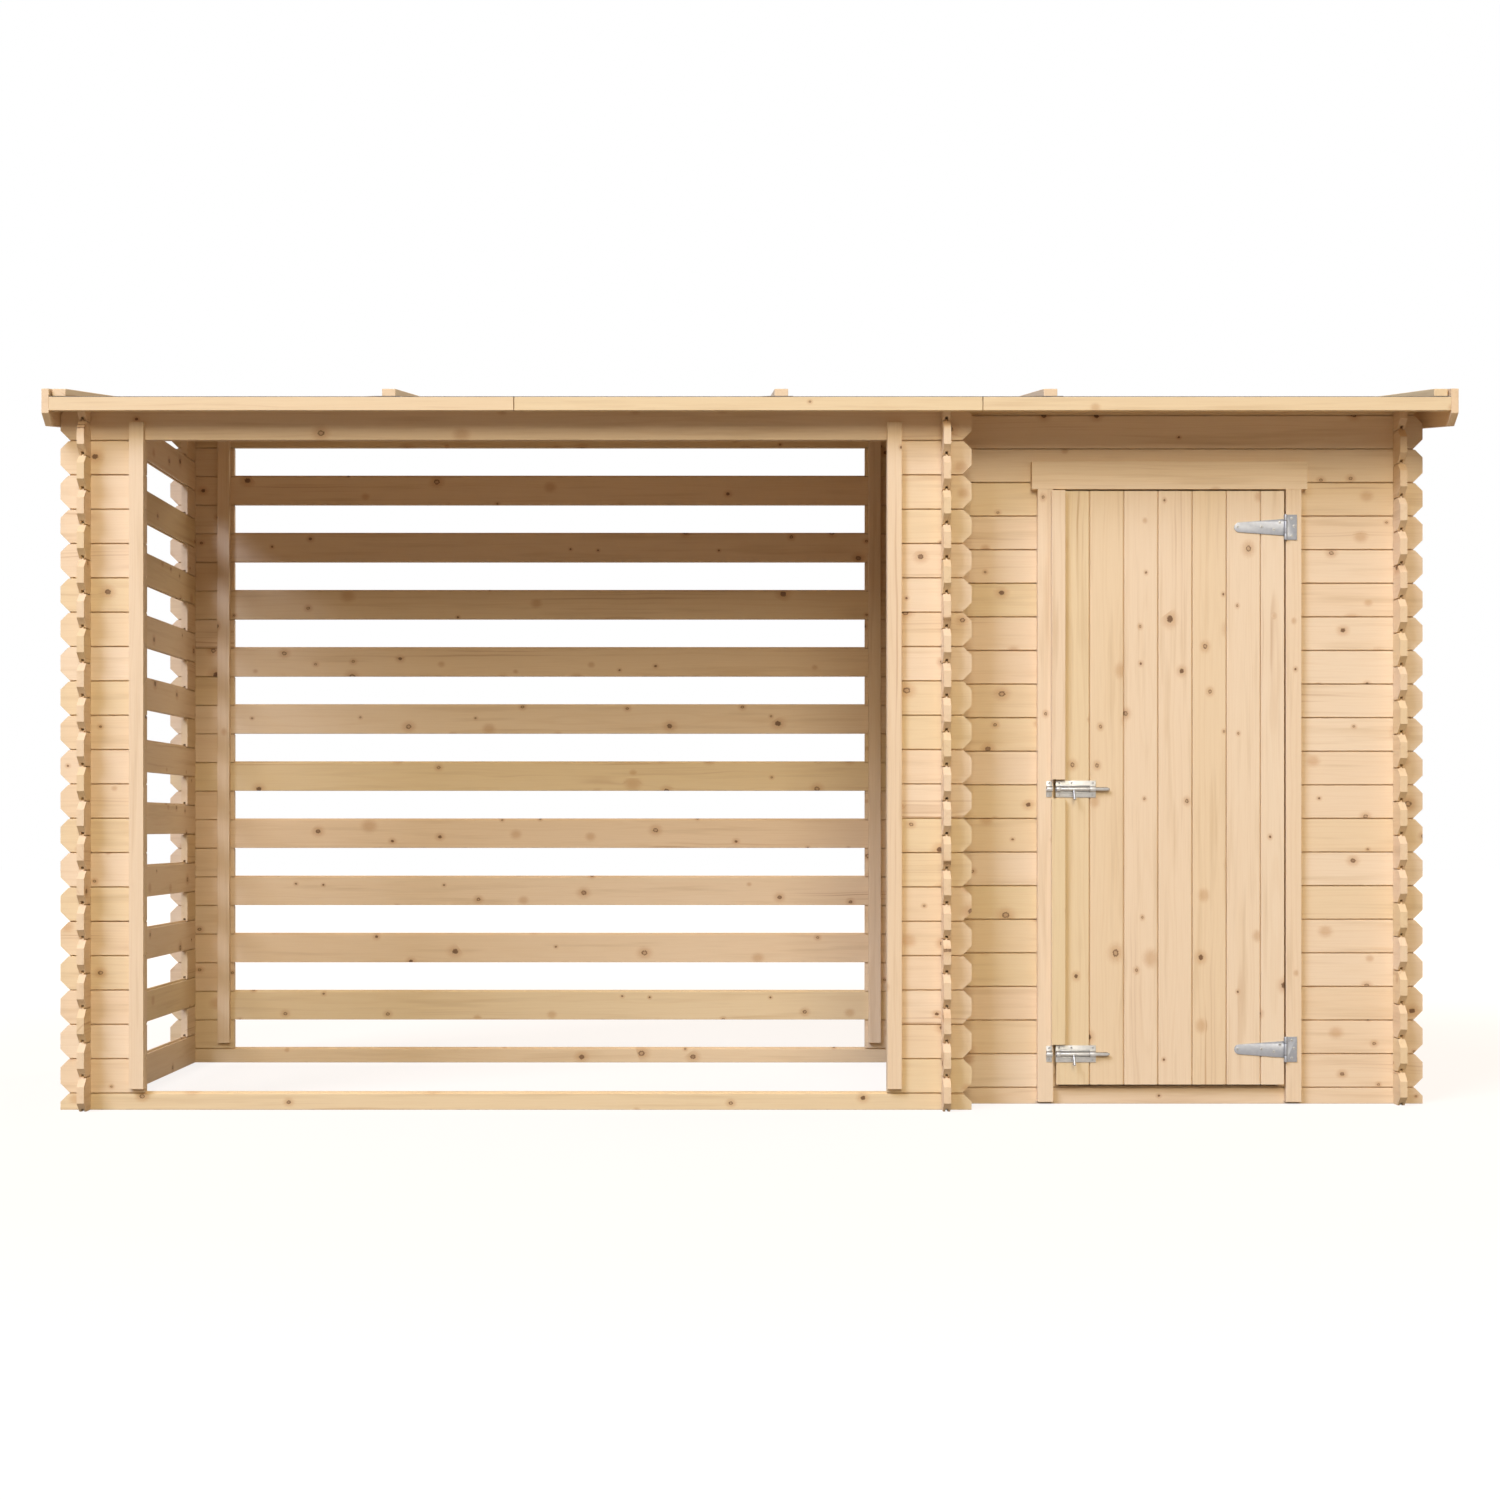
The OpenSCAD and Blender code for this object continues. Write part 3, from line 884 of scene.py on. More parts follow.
@dataclass
class Walls:
    """The walls of interlocking boards: the open bay's, the divider and the shed's."""

    shell: Shell
    mill: Mill
    look: bpy.types.Material

    def template(self, run: Run, width: float, top: Edge = Edge.MATCHED) -> Piece:
        """Mills one board for a run, with its shaped ends and its notches.

        Args:
            run: Where the board goes.
            width: The width that it covers. A board of half a course stands on the ground.
            top: How its upper edge is worked.

        Returns:
            The board, in its own frame.
        """
        whole = width > 1.5 * self.shell.half
        length = run.high - run.low
        board = self.mill.board(length, width, top, Edge.MATCHED if whole else Edge.PLAIN)
        if run.shaped_low:
            self.mill.shape_end(board, 0, width, whole)
        if run.shaped_high:
            self.mill.shape_end(board, length, width, whole)
        if run.crossings:
            places = [wall + self.shell.board_t / 2 - run.low for wall in run.crossings]
            self.mill.notch(board, places, width, whole)
        return board

    def along_x(self, run: Run, y: float, z: float) -> Matrix:
        """Place of a board that runs along X, with its front face at y and its foot at z."""
        return Matrix.Translation((run.low, y + self.shell.board_t / 2, z))

    def along_y(self, run: Run, x: float, z: float) -> Matrix:
        """Place of a board that runs along Y, with its low face at x and its foot at z."""
        turn = Matrix.Rotation(math.pi / 2, 4, "Z")
        return Matrix.Translation((x + self.shell.board_t / 2, run.low, z)) @ turn

    def rows(self, start: float, top: float, step: int = 1) -> list[float]:
        """Feet of the boards from a height up to the top of the wall, every so many courses."""
        count = math.ceil((top - start) / (step * self.shell.course) - 0.01)
        return [start + i * step * self.shell.course for i in range(count)]

    def wall_x(self, node: str, run: Run, y: float, heights: Iterable[float],
               top: Edge = Edge.MATCHED, with_half: bool = False) -> None:
        """Builds a node whose boards run along X.

        Args:
            node: The node that the boards stand for.
            run: Where the boards start and end.
            y: The front face of the wall.
            heights: The feet of its whole boards.
            top: How the upper edge of its boards is worked.
            with_half: Whether a half board lies on the ground below them.
        """
        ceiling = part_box(node)[1].z

        def level(piece: Piece) -> None:
            with editing(piece):
                part_at((0, 0, ceiling), (0, 0, 1), cut_off=True)

        laid = []
        if with_half:
            half = self.template(run, self.shell.half)
            laid.append(self.mill.lay(half, self.along_x(run, y, 0)))
            discard(half)
        heights = list(heights)
        if heights:
            whole = self.template(run, self.shell.course, top)
            for z in heights:
                over = z + self.shell.course > ceiling - MM
                laid.append(self.mill.lay(whole, self.along_x(run, y, z), level if over else None))
            discard(whole)
        finish(joined(f"{node}_boards", laid), Body.BUILDING, Slot.BOARDS, self.look, node)

    def wall_y(self, node: str, run: Run, x: float, heights: Iterable[float]) -> None:
        """Builds a node whose boards run along Y, cut off under the roof.

        Args:
            node: The node that the boards stand for.
            run: Where the boards start and end.
            x: The low face of the wall.
            heights: The feet of its boards.
        """
        whole = self.template(run, self.shell.course)
        lowest = self.shell.roof_z(run.low) - self.shell.course - self.mill.tongue_h
        laid = [
            self.mill.lay(whole, self.along_y(run, x, z),
                          self.shell.under_roof if z > lowest else None)
            for z in heights
        ]
        discard(whole)
        finish(joined(f"{node}_boards", laid), Body.BUILDING, Slot.BOARDS, self.look, node)

    def build_bay(self) -> None:
        """Builds the open bay: closed corners, sill and lintel in front, slats round the rest."""
        shell = self.shell
        low, high = (corner.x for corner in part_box("open_front_sill"))
        ends = (shell.left_x, shell.divider_x)
        full = Run(low, high, True, True, ends)
        self.wall_x("open_front_sill", full, shell.front_y, [], with_half=True)
        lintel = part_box("open_front_lintel")[0].z
        self.wall_x("open_front_lintel", full, shell.front_y, [lintel], Edge.PLAIN)
        for wall, y in (("front", shell.front_y), ("back", shell.back_y)):
            step = 2 if wall == "back" else 1
            for side, crossing in zip(("left", "right"), ends):
                node = f"open_{wall}_{side}_stub" + ("s" if wall == "back" else "")
                from_x, to_x = (corner.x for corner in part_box(node))
                run = Run(from_x, to_x, side == "left", side == "right", (crossing,))
                rows = self.rows(shell.half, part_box(node)[1].z, step)
                self.wall_x(node, run, y, rows)
        slats = self.rows(shell.half + shell.course, shell.back_top, 2)
        self.wall_x("open_back_slats", full, shell.back_y, slats, with_half=True)
        low_y, high_y = (corner.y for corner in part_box("open_side_slats"))
        crossings = (shell.front_y, shell.back_y)
        side = Run(low_y, high_y, True, True, crossings)
        self.wall_y("open_side_slats", side, shell.left_x,
                    self.rows(0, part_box("open_side_slats")[1].z, 2))
        for node, crossing in zip(("open_side_front_stubs", "open_side_back_stubs"), crossings):
            from_y, to_y = (corner.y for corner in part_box(node))
            run = Run(from_y, to_y, crossing < 0, crossing > 0, (crossing,))
            self.wall_y(node, run, shell.left_x,
                        self.rows(shell.course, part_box(node)[1].z, 2))

    def build_shed(self) -> None:
        """Builds the divider and the shed's walls round its doorway."""
        shell = self.shell
        across = {
            "divider_wall": (shell.divider_x, (shell.front_y, shell.shed_front_y,
                                               shell.shed_back_y, shell.back_y)),
            "shed_right_wall": (shell.right_x, (shell.shed_front_y, shell.shed_back_y)),
        }
        for node, (x, crossings) in across.items():
            (_, low_y, _), (_, high_y, top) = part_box(node)
            self.wall_y(node, Run(low_y, high_y, True, True, crossings), x, self.rows(0, top))
        low, high = (corner.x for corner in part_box("shed_front_sill"))
        ends = (shell.divider_x, shell.right_x)
        full = Run(low, high, True, True, ends)
        self.wall_x("shed_front_sill", full, shell.shed_front_y, [], with_half=True)
        self.wall_x("shed_back_wall", full, shell.shed_back_y,
                    self.rows(shell.half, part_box("shed_back_wall")[1].z), with_half=True)
        for side, crossing in zip(("left", "right"), ends):
            node = f"shed_front_{side}"
            from_x, to_x = (corner.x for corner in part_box(node))
            run = Run(from_x, to_x, side == "left", side == "right", (crossing,))
            self.wall_x(node, run, shell.shed_front_y, self.rows(shell.half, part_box(node)[1].z))
        top_low, top_high = (corner.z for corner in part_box("shed_front_top"))
        self.wall_x("shed_front_top", full, shell.shed_front_y, self.rows(top_low, top_high))

    def build_battens(self, look: bpy.types.Material) -> None:
        """Makes the upright battens at the bay's front opening and inside its back corners."""
        for node in ("open_front_left_post", "open_front_right_post",
                     "open_back_left_batten", "open_back_right_batten"):
            piece = self.mill.timber(node, f"{node}_planed", (0, 0, 1))
            finish(piece, Body.BUILDING, Slot.TRIM, look, node)


# ---------- roof ----------


@dataclass
class Roof:
    """The pent roof: its deck of boards, the felt, the battens on it and the boards at its edges."""

    shell: Shell
    mill: Mill
    boards: bpy.types.Material
    trim: bpy.types.Material
    felt: bpy.types.Material
    steel: bpy.types.Material
    sheet_t: float = 1.0 * MM
    sheet_lap: float = 60.0 * MM
    nail_pitch: float = 290.0 * MM
    nail_r: float = 2.6 * MM
    nail_rise: float = 0.9 * MM
    batten_arris: float = 1.2 * MM
    batten_gap: float = 200.0 * MM
    felt_arris: float = 0.2 * MM

    @property
    def along(self) -> Vector:
        """Direction up the slope."""
        return Vector((0, math.cos(self.shell.pitch), math.sin(self.shell.pitch)))

    @property
    def normal(self) -> Vector:
        """Direction out of the roof."""
        return Vector((0, -math.sin(self.shell.pitch), math.cos(self.shell.pitch)))

    def deck(self) -> None:
        """Lays the deck's boards from front to back, with plumb ends."""
        low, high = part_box("roof_deck")
        count = round((high.x - low.x) / self.shell.course)
        width = (high.x - low.x) / count
        t, slope = self.shell.board_t, math.tan(self.shell.pitch)
        length = (high.y - low.y) / math.cos(self.shell.pitch)
        board = self.mill.board(length + t * slope, width)
        with editing(board):
            part_at((0, -t / 2, 0), (-1, slope, 0), cut_off=True)
            part_at((length, -t / 2, 0), (1, -slope, 0), cut_off=True)
        turn = Matrix((self.along, self.normal, (1, 0, 0))).transposed().to_4x4()
        foot = Vector((low.x, low.y, self.shell.roof_z(low.y))) + self.normal * (t / 2)
        laid = [
            self.mill.lay(board, Matrix.Translation(foot + Vector((i * width, 0, 0))) @ turn)
            for i in range(count)
        ]
        discard(board)
        finish(joined("roof_deck_boards", laid), Body.BUILDING, Slot.BOARDS, self.boards, "roof_deck")

    def battens(self) -> list[float]:
        """Makes the battens that hold the felt down, with their nails.

        Returns:
            The middle of each batten along X.
        """
        piece = self.mill.timber("roof_battens", "roof_battens_planed", self.along,
                                 self.batten_arris)
        places = sorted({round(v.co.x, 4) for v in piece.data.vertices})
        clear = [pair for pair in zip(places, places[1:]) if pair[1] - pair[0] > self.batten_gap]
        starts = [places[0], *(right for _, right in clear)]
        stops = [*(left for left, _ in clear), places[-1]]
        middles = [(start + stop) / 2 for start, stop in zip(starts, stops)]
        finish(piece, Body.BUILDING, Slot.TRIM, self.trim, "roof_battens")
        low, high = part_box("roof_battens")
        count = round((high.y - low.y) / self.nail_pitch)
        slope = math.tan(self.shell.pitch)
        top = high.z - slope * high.y
        rows = [low.y + (i + 0.5) * (high.y - low.y) / count for i in range(count)]
        nail = domed_head(self.nail_r, self.nail_rise)
        spots = [(x, y, top + slope * y) for x in middles for y in rows]
        nails = heads(nail, "roof_batten_nails", spots, self.normal)
        discard(nail)
        smooth(nails)
        finish(nails, Body.BUILDING, Slot.ZINC, self.steel)
        return middles

    def sheets(self, battens: Sequence[float]) -> None:
        """Lays the felt in sheets from front to back that lap under the inner battens.

        Args:
            battens: The middle of each batten along X.
        """
        low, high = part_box("roof_felt")
        edges = [low.x, *battens[1:-1], high.x]
        length = (high.y - low.y) / math.cos(self.shell.pitch)
        foot = (0, low.y, self.shell.roof_z(low.y) + self.shell.board_t / math.cos(self.shell.pitch))
        place = Matrix.Translation(foot) @ Matrix.Rotation(self.shell.pitch, 4, "X")
        laid = []
        for i, (start, end) in enumerate(zip(edges, edges[1:])):
            lap = self.sheet_lap / 2
            first = start - (lap if i else 0)
            last = end + (lap if i < len(edges) - 2 else 0)
            sheet = block("felt", (first, 0, 0), (last, length, self.sheet_t))
            with editing(sheet):
                part_at((end - 2 * lap, 0, 0), (1, 0, 0))
                part_at((end - lap, 0, 0), (1, 0, 0))
            if i < len(edges) - 2:
                with editing(sheet, Pick.VERTS, lambda c, n: c.x > end - 1.5 * lap):
                    bpy.ops.transform.translate(value=(0, 0, self.sheet_t))
            sheet.data.transform(place)
            laid.append(sheet)
        felt = joined("roof_felt_sheets", laid)
        break_edges(felt, self.felt_arris, 1)
        finish(felt, Body.BUILDING, Slot.FELT, self.felt, "roof_felt")

    def edges(self) -> None:
        """Makes the fascias and the barge boards."""
        for node in ("front_fascia", "back_fascia"):
            piece = self.mill.timber(node, f"{node}_boards", (1, 0, 0))
            finish(piece, Body.BUILDING, Slot.TRIM, self.trim, node)
        for node in ("left_barge", "right_barge"):
            piece = self.mill.timber(node, f"{node}_board", self.along)
            finish(piece, Body.BUILDING, Slot.TRIM, self.trim, node)

    def build(self) -> None:
        """Builds the whole roof."""
        self.deck()
        self.sheets(self.battens())
        self.edges()


# ---------- screws and nails ----------


def domed_head(radius: float, rise: float) -> Piece:
    """Makes a nail's head, which looks up and is sunk below z 0 for half its height.

    Args:
        radius: The head's radius.
        rise: Its height.

    Returns:
        The head, as a template.
    """
    head = rod("head", (0, 0, 0), radius, rise, sides=14)
    with editing(head, Pick.FACES, lambda c, n: n.z > 0.9):
        bpy.ops.mesh.bevel(offset=rise * 0.6, segments=2, affect="EDGES")
    return head


def screw_head(radius: float, rise: float) -> Piece:
    """Makes a screw's round head with its cross recess, sunk below z 0 for half its height.

    Args:
        radius: The head's radius.
        rise: Its height.

    Returns:
        The head, as a template.
    """
    head = domed_head(radius, rise)
    arm, slit = radius * 0.55, radius * 0.12
    cross = [
        block("cut", (-arm, -slit, 0), (arm, slit, rise * 2)),
        block("cut", (-slit, -arm, 0), (slit, arm, rise * 2)),
    ]
    for cut in cross:
        subtract(head, [cut])
    return head


def heads(template: Piece, name: str, places: Iterable[Sequence[float]],
          facing: Sequence[float]) -> Piece:
    """Sets copies of a head at their places.

    Args:
        template: The head.
        name: The name of the joined heads.
        places: Where the heads stand.
        facing: The direction in which they look.

    Returns:
        The joined heads.
    """
    turn = Vector(facing).to_track_quat("Z", "Y").to_matrix().to_4x4()
    set_in = [copy_of(template, name, Matrix.Translation(place) @ turn) for place in places]
    return joined(name, set_in)


# ---------- door ----------


@dataclass
class Door:
    """The shed's door: its surround, its upright boards, and the ledges and brace behind."""

    shell: Shell
    mill: Mill
    boards: bpy.types.Material
    trim: bpy.types.Material
    steel: bpy.types.Material
    first_w: float = 90.0 * MM
    board_w: float = 91.2 * MM
    count: int = 7
    screw_r: float = 3.6 * MM
    screw_rise: float = 1.2 * MM
    # Where the screws sit: up a ledge, in every other board the other way round, and up the brace.
    ledge_shares: tuple[float, float] = (0.72, 0.28)
    brace_shares: tuple[float, ...] = (0.12, 0.3, 0.5, 0.7, 0.88)

    def surround(self) -> None:
        """Makes the posts beside the door and the board over it."""
        for node in ("door_left_post", "door_right_post"):
            piece = self.mill.timber(node, f"{node}_planed", (0, 0, 1))
            finish(piece, Body.BUILDING, Slot.TRIM, self.trim, node)
        piece = self.mill.timber("door_header", "door_header_planed", (1, 0, 0))
        finish(piece, Body.BUILDING, Slot.TRIM, self.trim, "door_header")

    def seams(self) -> list[float]:
        """Places of the leaf's edges and of the joints between its boards, along X."""
        low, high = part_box("door_leaf")
        inner = [low.x + self.first_w + i * self.board_w for i in range(self.count - 1)]
        return [low.x, *inner, high.x]

    def leaf(self) -> None:
        """Lays the leaf's upright boards, with the tongues towards its free edge."""
        low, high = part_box("door_leaf")
        middle_y = (low.y + high.y) / 2
        seams = self.seams()
        length = high.z - low.z
        first = self.mill.board(length, self.first_w, Edge.PLAIN, Edge.MATCHED)
        between = self.mill.board(length, self.board_w)
        last = self.mill.board(length, seams[-1] - seams[-2], Edge.MATCHED, Edge.PLAIN)
        laid = []
        for board, to_x in zip([first, *[between] * (self.count - 2), last], seams[1:]):
            place = Matrix.Translation((to_x, middle_y, low.z))
            laid.append(self.mill.lay(board, place @ Matrix.Rotation(-math.pi / 2, 4, "Y")))
        discard(first, between, last)
        finish(joined("door_leaf_boards", laid), Body.DOOR, Slot.BOARDS, self.boards, "door_leaf")

    def back(self) -> None:
        """Makes the ledges and the brace, with the screws that hold the boards to them."""
        brace_low, brace_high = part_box("door_brace")
        rise = Vector((brace_low.x - brace_high.x, 0, brace_high.z - brace_low.z))
        for node, along in (("door_upper_ledge", (1, 0, 0)), ("door_lower_ledge", (1, 0, 0)),
                            ("door_brace", rise), ("door_edge_strip", (0, 0, 1))):
            piece = self.mill.timber(node, f"{node}_planed", along)
            finish(piece, Body.DOOR, Slot.TRIM, self.trim, node)
        seams = self.seams()
        middles = [(a + b) / 2 for a, b in zip(seams, seams[1:])]
        middles[0] += self.first_w / 5
        places = []
        for node in ("door_upper_ledge", "door_lower_ledge"):
            low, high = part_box(node)
            for i, x in enumerate(middles):
                shares = reversed(self.ledge_shares) if i % 2 else self.ledge_shares
                places += [(x, high.y, low.z + share * (high.z - low.z)) for share in shares]
        foot = Vector((brace_high.x, brace_high.y, brace_low.z))
        places += [foot + share * rise for share in self.brace_shares]
        head = screw_head(self.screw_r, self.screw_rise)
        screws = heads(head, "door_screws", places, (0, 1, 0))
        discard(head)
        smooth(screws)
        finish(screws, Body.DOOR, Slot.ZINC, self.steel)

    def build(self) -> None:
        """Builds the surround and the door."""
        self.surround()
        self.leaf()
        self.back()


# ---------- hinges and bolts ----------


@dataclass
class Hinges:
    """The door's two T-shaped strap hinges, pressed from zinc-plated sheet."""

    steel: bpy.types.Material
    bright: bpy.types.Material
    edge: float = 0.5 * MM
    sheet_t: float = 2.5 * MM
    screw_r: float = 4.0 * MM
    screw_rise: float = 1.3 * MM
    pin_r: float = 3.2 * MM
    pin_rise: float = 1.4 * MM
    barrel_r: float = 4.5 * MM
    # The screws: from the strap's tip or the plate's far side along X, and from the middle up.
    strap_mm: tuple[tuple[float, float], ...] = ((8.5, 1), (72, 1), (105, -6), (121, 13))
    plate_mm: tuple[tuple[float, float], ...] = ((-8, 3), (-14, 24), (-14, -23))

    def build(self) -> None:
        """Makes both hinges: strap on the door, cross plate on the post, and their screws."""
        head = screw_head(self.screw_r, self.screw_rise)
        for level in ("upper", "lower"):
            for part, body in (("strap", Body.DOOR), ("plate", Body.BUILDING)):
                node = f"{level}_hinge_{part}"
                metal = from_node(node, node)
                break_edges(metal, self.edge)
                low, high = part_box(node)
                middle = (low.z + high.z) / 2
                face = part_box("door_leaf")[0].y - self.sheet_t
                end, spots = (low.x, self.strap_mm) if part == "strap" else (high.x, self.plate_mm)
                places = [(end + x * MM, face, middle + z * MM) for x, z in spots]
                screws = heads(head, f"{node}_screws", places, (0, -1, 0))
                smooth(screws)
                finish(screws, body, Slot.BRIGHT, self.bright)
                pieces = [metal]
                if part == "plate":
                    pieces += self.pin_ends(low, high)
                hinge = joined(f"{node}_pressed", pieces)
                smooth(hinge)
                finish(hinge, body, Slot.ZINC, self.steel, node)
        discard(head)

    def pin_ends(self, low: Vector, high: Vector) -> list[Piece]:
        """Makes the riveted ends of the hinge pin.

        Args:
            low: The lowest corner of the plate's node.
            high: Its highest corner.

        Returns:
            The two ends.
        """
        x, y = low.x + self.barrel_r, low.y + self.barrel_r
        ends = []
        for z, way in ((high.z, 1), (low.z, -1)):
            dome = domed_head(self.pin_r, self.pin_rise)
            turn = Vector((0, 0, way)).to_track_quat("Z", "Y").to_matrix().to_4x4()
            dome.data.transform(Matrix.Translation((x, y, z)) @ turn)
            ends.append(dome)
        return ends


@dataclass
class Bolts:
    """The door's two tower bolts: plate and guides, sliding rod, and keep on the post."""

    steel: bpy.types.Material
    edge: float = 0.5 * MM
    plate_t: float = 2.0 * MM
    rib_h: float = 4.0 * MM
    rib_w: float = 4.0 * MM
    rib_off: float = 8.5 * MM
    rib_ends: tuple[float, float] = (11.0 * MM, 17.0 * MM)
    rounding: float = 1.6 * MM
    radius: float = 5.0 * MM
    point: float = 7.0 * MM
    point_share: float = 0.25
    pin_at: float = 48.0 * MM
    pin_lean: float = math.radians(30)
    pin_r: float = 3.0 * MM
    pin_len: float = 33.0 * MM
    collar_r: float = 4.0 * MM
    collar_at: float = 30.0 * MM
    collar_w: float = 6.0 * MM
    collar_edge: float = 1.4 * MM
    screw_r: float = 3.2 * MM
    screw_rise: float = 1.1 * MM
    screws_mm: tuple[float, ...] = (9, 42, 99)
    plate_screws: float = 16.5 * MM
    keep_screws: float = 15.5 * MM

    def ribs(self, low: Vector, high: Vector, face: float) -> list[Piece]:
        """Makes the two rounded ribs pressed up along the plate, above and below the rod.

        Args:
            low: The lowest corner of the plate's node.
            high: Its highest corner.
            face: The plate's front face.

        Returns:
            The two ribs.
        """
        middle = (low.z + high.z) / 2
        made = []
        for side in (-1, 1):
            z = middle + side * self.rib_off
            rib = block("rib", (low.x + self.rib_ends[0], face - self.rib_h, z - self.rib_w / 2),
                        (high.x - self.rib_ends[1], face, z + self.rib_w / 2))
            with editing(rib, Pick.FACES, lambda c, n: n.y < -0.9):
                bpy.ops.mesh.bevel(offset=self.rounding, segments=3, affect="EDGES")
            made.append(rib)
        return made

    def plate(self, level: str, head: Piece) -> None:
        """Makes the plate on the door with its guides, ribs and screws."""
        node = f"{level}_bolt_plate"
        low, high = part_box(node)
        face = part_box("door_leaf")[0].y - self.plate_t
        metal = from_node(node, node)
        break_edges(metal, self.edge)
        middle = (low.z + high.z) / 2
        places = [
            (low.x + x * MM, face, middle + side * self.plate_screws)
            for x in self.screws_mm for side in (-1, 1)
        ]
        screws = heads(head, "screws", places, (0, -1, 0))
        plate = joined(f"{node}_pressed", [metal, screws, *self.ribs(low, high, face)])
        smooth(plate)
        finish(plate, Body.DOOR, Slot.BRIGHT, self.steel, node)

    def keep(self, level: str, head: Piece) -> None:
        """Makes the keep on the post with its two screws."""
        node = f"{level}_bolt_keep"
        low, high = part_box(node)
        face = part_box("door_leaf")[0].y - self.plate_t
        metal = from_node(node, node)
        break_edges(metal, self.edge)
        middle = (low.z + high.z) / 2
        across = (low.x + high.x) / 2
        places = [(across, face, middle + side * self.keep_screws) for side in (-1, 1)]
        screws = heads(head, "screws", places, (0, -1, 0))
        keep = joined(f"{node}_pressed", [metal, screws])
        smooth(keep)
        finish(keep, Body.BUILDING, Slot.BRIGHT, self.steel, node)

    def sliding_rod(self, level: str, body: Body) -> None:
        """Makes the sliding rod with its pointed ends and the pin that moves it."""
        node = f"{level}_bolt_rod"
        low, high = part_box(node)
        axis = Vector((0, high.y - self.radius, high.z - self.radius))
        length = high.x - low.x - 2 * self.point
        bar = rod("bar", ((low.x + high.x) / 2, axis.y, axis.z), self.radius, length, (1, 0, 0))
        for way in (-1, 1):
            with editing(bar, Pick.FACES, lambda c, n: n.x * way > 0.9):
                extrude(x=way * self.point)
                bpy.ops.transform.resize(value=[self.point_share] * 3)
        root = Vector((low.x + self.pin_at, axis.y, axis.z))
        down = Vector((0, -math.sin(self.pin_lean), -math.cos(self.pin_lean)))
        pin = rod("pin", root + down * self.pin_len / 2, self.pin_r, self.pin_len, down, 20)
        with editing(pin, Pick.FACES, lambda c, n: n.dot(down) > 0.9):
            bpy.ops.mesh.bevel(offset=self.rounding, segments=3, affect="EDGES")
        collar = rod("collar", root + down * self.collar_at, self.collar_r, self.collar_w, down, 20)
        break_edges(collar, self.collar_edge, 3)
        bolt = joined(f"{node}_turned", [bar, pin, collar])
        smooth(bolt)
        finish(bolt, body, Slot.BRIGHT, self.steel, node)

    def build(self) -> None:
        """Makes both bolts."""
        head = screw_head(self.screw_r, self.screw_rise)
        for level, body in (("upper", Body.UPPER_BOLT), ("lower", Body.LOWER_BOLT)):
            self.plate(level, head)
            self.keep(level, head)
            self.sliding_rod(level, body)
        discard(head)


# ---------- studio ----------


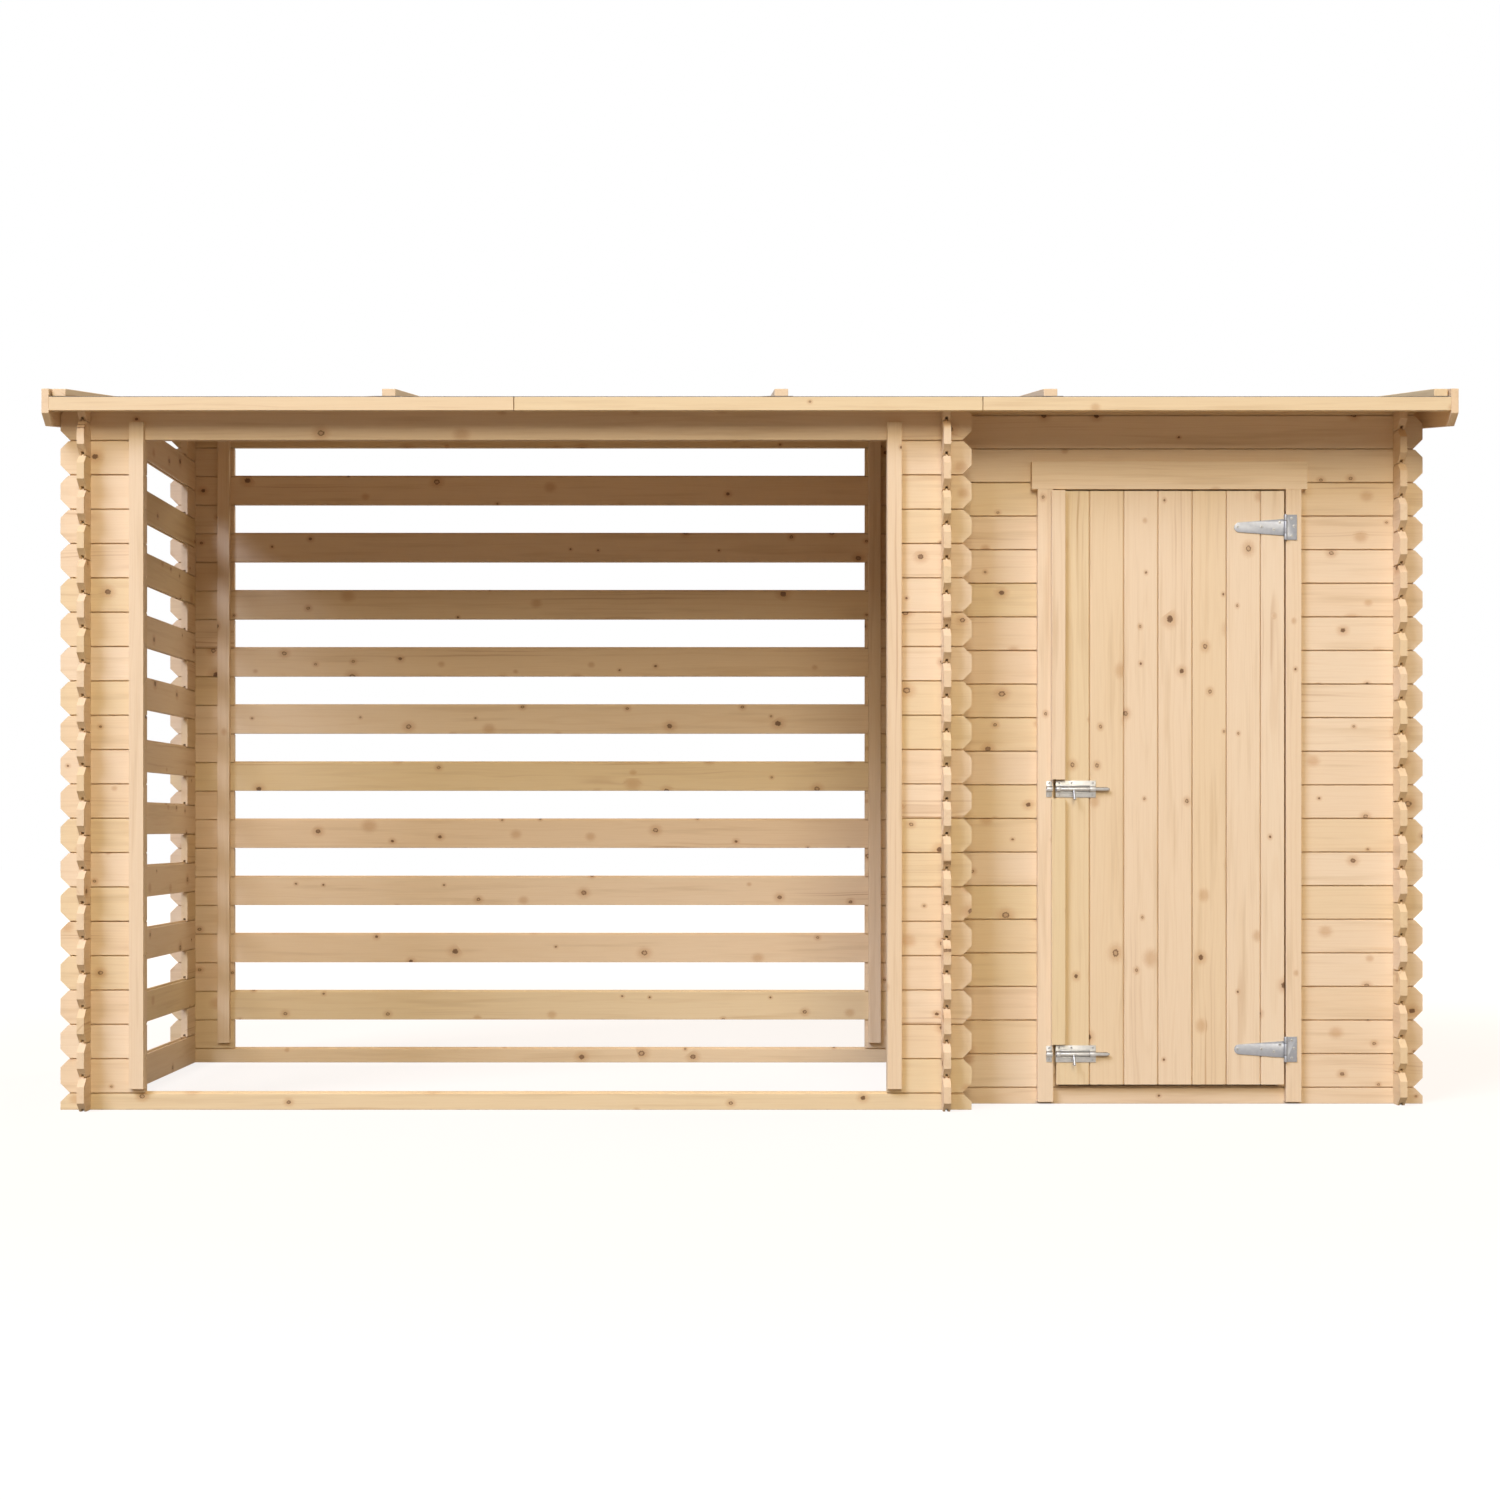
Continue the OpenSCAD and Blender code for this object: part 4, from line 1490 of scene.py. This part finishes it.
@dataclass(frozen=True)
class Studio:
    """The plain studio: white floor and backdrop, three soft lamps, and the camera.

    The key lamp hangs far off to the upper left, so that the front is lit evenly. The front lamp
    is lower and warmer and reaches the bay's back wall, and the fill lights the back and the roof.
    """

    camera_at: tuple[float, float, float] = (-0.08775, -6.173, 0.741)
    lens_mm: float = 51.3
    shift: tuple[float, float] = (0.0227, 0.0513)
    horizon: float = 0.08
    zenith: float = 0.5
    sky: str = "#FFDDAE"
    key_tint: str = "#D4E0FF"
    front_tint: str = "#FFF4DC"
    key_at: tuple[float, float, float] = (-19.0, -22.0, 25.0)
    front_at: tuple[float, float, float] = (0.5, -16.0, 8.6)
    fill_at: tuple[float, float, float] = (5.5, 7.0, 8.0)
    lamp_aim: tuple[float, float, float] = (0.0, 0.0, 1.0)
    lamp_spread: tuple[float, float] = (0.37, 0.42)
    key_watts: float = 12300.0
    front_watts: float = 1430.0
    fill_watts: float = 420.0
    floor_size: float = 60.0
    ground: str = "#84796C"
    glow_near: float = 0.82
    glow_reach: tuple[float, float] = (2.5, 8.0)

    def seen(self, add: Callable[..., bpy.types.Node]) -> bpy.types.Node:
        """Adds the nodes that tell what is looked at, or shows in gloss or glass, from what lights.

        Args:
            add: Adds a node.

        Returns:
            A node that is 1 for what is seen.
        """
        rays = add("ShaderNodeLightPath").outputs
        gloss = add("ShaderNodeMath", {0: rays["Is Camera Ray"], 1: rays["Is Glossy Ray"]},
                    operation="MAXIMUM")
        return add("ShaderNodeMath", {0: gloss, 1: rays["Is Transmission Ray"]}, operation="MAXIMUM")

    def world(self) -> None:
        """Makes the world: white where it is seen, and otherwise a soft light, mostly from above."""
        world = bpy.data.worlds.new("studio")
        bpy.context.scene.world = world
        world.use_nodes = True
        world.node_tree.nodes.clear()
        add = partial(add_node, world.node_tree)
        up = add("ShaderNodeSeparateXYZ", {0: add("ShaderNodeTexCoord").outputs["Generated"]})
        sky = add("ShaderNodeMapRange", {
            "Value": up.outputs["Z"], "From Min": 0.0, "From Max": 0.8,
            "To Min": self.horizon, "To Max": self.zenith}, interpolation_type="SMOOTHSTEP")
        seen = self.seen(add)
        strength = add("ShaderNodeMix", {0: seen, 2: sky, 3: 1.0}).outputs[0]
        colour = add("ShaderNodeMix", {0: seen, 6: linear(self.sky), 7: linear("#FFFFFF")},
                     data_type="RGBA").outputs[2]
        light = add("ShaderNodeBackground", {"Color": colour, "Strength": strength})
        add("ShaderNodeOutputWorld", {"Surface": light})

    def floor(self) -> None:
        """Makes the floor, which looks white round a soft shadow but throws back earthy light."""
        bpy.ops.mesh.primitive_plane_add(size=self.floor_size, location=(0, 0, 0))
        floor = bpy.context.object
        floor.name = "studio_floor"
        look, add = new_look("white_floor")
        white = add("ShaderNodeBsdfDiffuse", {"Color": linear(self.ground)})
        away = add("ShaderNodeVectorMath", {0: add("ShaderNodeTexCoord").outputs["Object"]},
                   operation="LENGTH").outputs["Value"]
        near, far = self.glow_reach
        share = add("ShaderNodeMapRange", {
            "Value": away, "From Min": near, "From Max": far, "To Min": self.glow_near, "To Max": 1.0})
        glow = add("ShaderNodeEmission", {
            "Color": linear("#FFFFFF"),
            "Strength": add("ShaderNodeMath", {0: self.seen(add), 1: share}, operation="MULTIPLY")})
        add("ShaderNodeOutputMaterial", {
            "Surface": add("ShaderNodeAddShader", {0: white, 1: glow})})
        floor.data.materials.append(look)

    def shed_ground(self) -> None:
        """Lays ground without the floor's glow in the closed shed, so that no gap shows white."""
        left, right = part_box("divider_wall")[1].x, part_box("shed_right_wall")[0].x
        front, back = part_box("shed_front_left")[1].y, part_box("shed_back_wall")[0].y
        ground = block("shed_ground", (left, front, 0), (right, back, 1 * MM))
        look, add = new_look("shed_ground")
        add("ShaderNodeOutputMaterial", {
            "Surface": add("ShaderNodeBsdfDiffuse", {"Color": linear(self.ground)})})
        ground.data.materials.append(look)

    def lamp(self, name: str, place: Sequence[float], watts: float, tint: str) -> None:
        """Adds a soft lamp that shines on the object.

        Args:
            name: The lamp's name.
            place: Where it hangs.
            watts: Its power.
            tint: Its colour.
        """
        bpy.ops.object.light_add(type="AREA", location=place)
        lamp = bpy.context.object
        lamp.name = name
        lamp.data.shape = "RECTANGLE"
        lamp.data.energy = watts
        lamp.data.color = linear(tint)[:3]
        aim = Vector(self.lamp_aim) - Vector(place)
        lamp.data.size, lamp.data.size_y = (share * aim.length for share in self.lamp_spread)
        lamp.rotation_euler = aim.to_track_quat("-Z", "Y").to_euler()

    def camera(self) -> None:
        """Adds the camera, square to the front and low, shifted so that the verticals stay upright."""
        bpy.ops.object.camera_add(location=self.camera_at, rotation=(math.pi / 2, 0, 0))
        camera = bpy.context.object
        camera.name = "camera"
        camera.data.lens = self.lens_mm
        camera.data.shift_x, camera.data.shift_y = self.shift
        bpy.context.scene.camera = camera

    def build(self) -> None:
        """Builds the studio."""
        self.world()
        self.floor()
        self.shed_ground()
        self.lamp("key", self.key_at, self.key_watts, self.key_tint)
        self.lamp("front", self.front_at, self.front_watts, self.front_tint)
        self.lamp("fill", self.fill_at, self.fill_watts, self.front_tint)
        self.camera()
        bpy.context.scene.view_settings.view_transform = "Standard"


def main() -> None:
    """Builds the log store and its studio, and reports each piece."""
    logging.basicConfig(level=logging.INFO, format="%(message)s")
    Studio().build()
    shell = Shell.from_frame()
    mill = Mill(random.Random(SEED), shell.board_t)
    boards = PlanedSpruce("planed_spruce").material()
    trim = PlanedSpruce("planed_spruce_trim", knotted=0.16, stained=0.26, knot_to_mm=5.0).material()
    zinc = ZincPlated("zinc_plated_steel", "#A4A5A8", "#939498", 0.5).material()
    bright = ZincPlated("bright_steel", "#BFBDB8", "#A5A3A0", 0.45).material()
    felt = MineralFelt().material()
    walls = Walls(shell, mill, boards)
    walls.build_bay()
    walls.build_shed()
    walls.build_battens(trim)
    Roof(shell, mill, boards, trim, felt, zinc).build()
    Door(shell, mill, boards, trim, zinc).build()
    Hinges(zinc, bright).build()
    Bolts(bright).build()


if __name__ == "__main__":
    main()
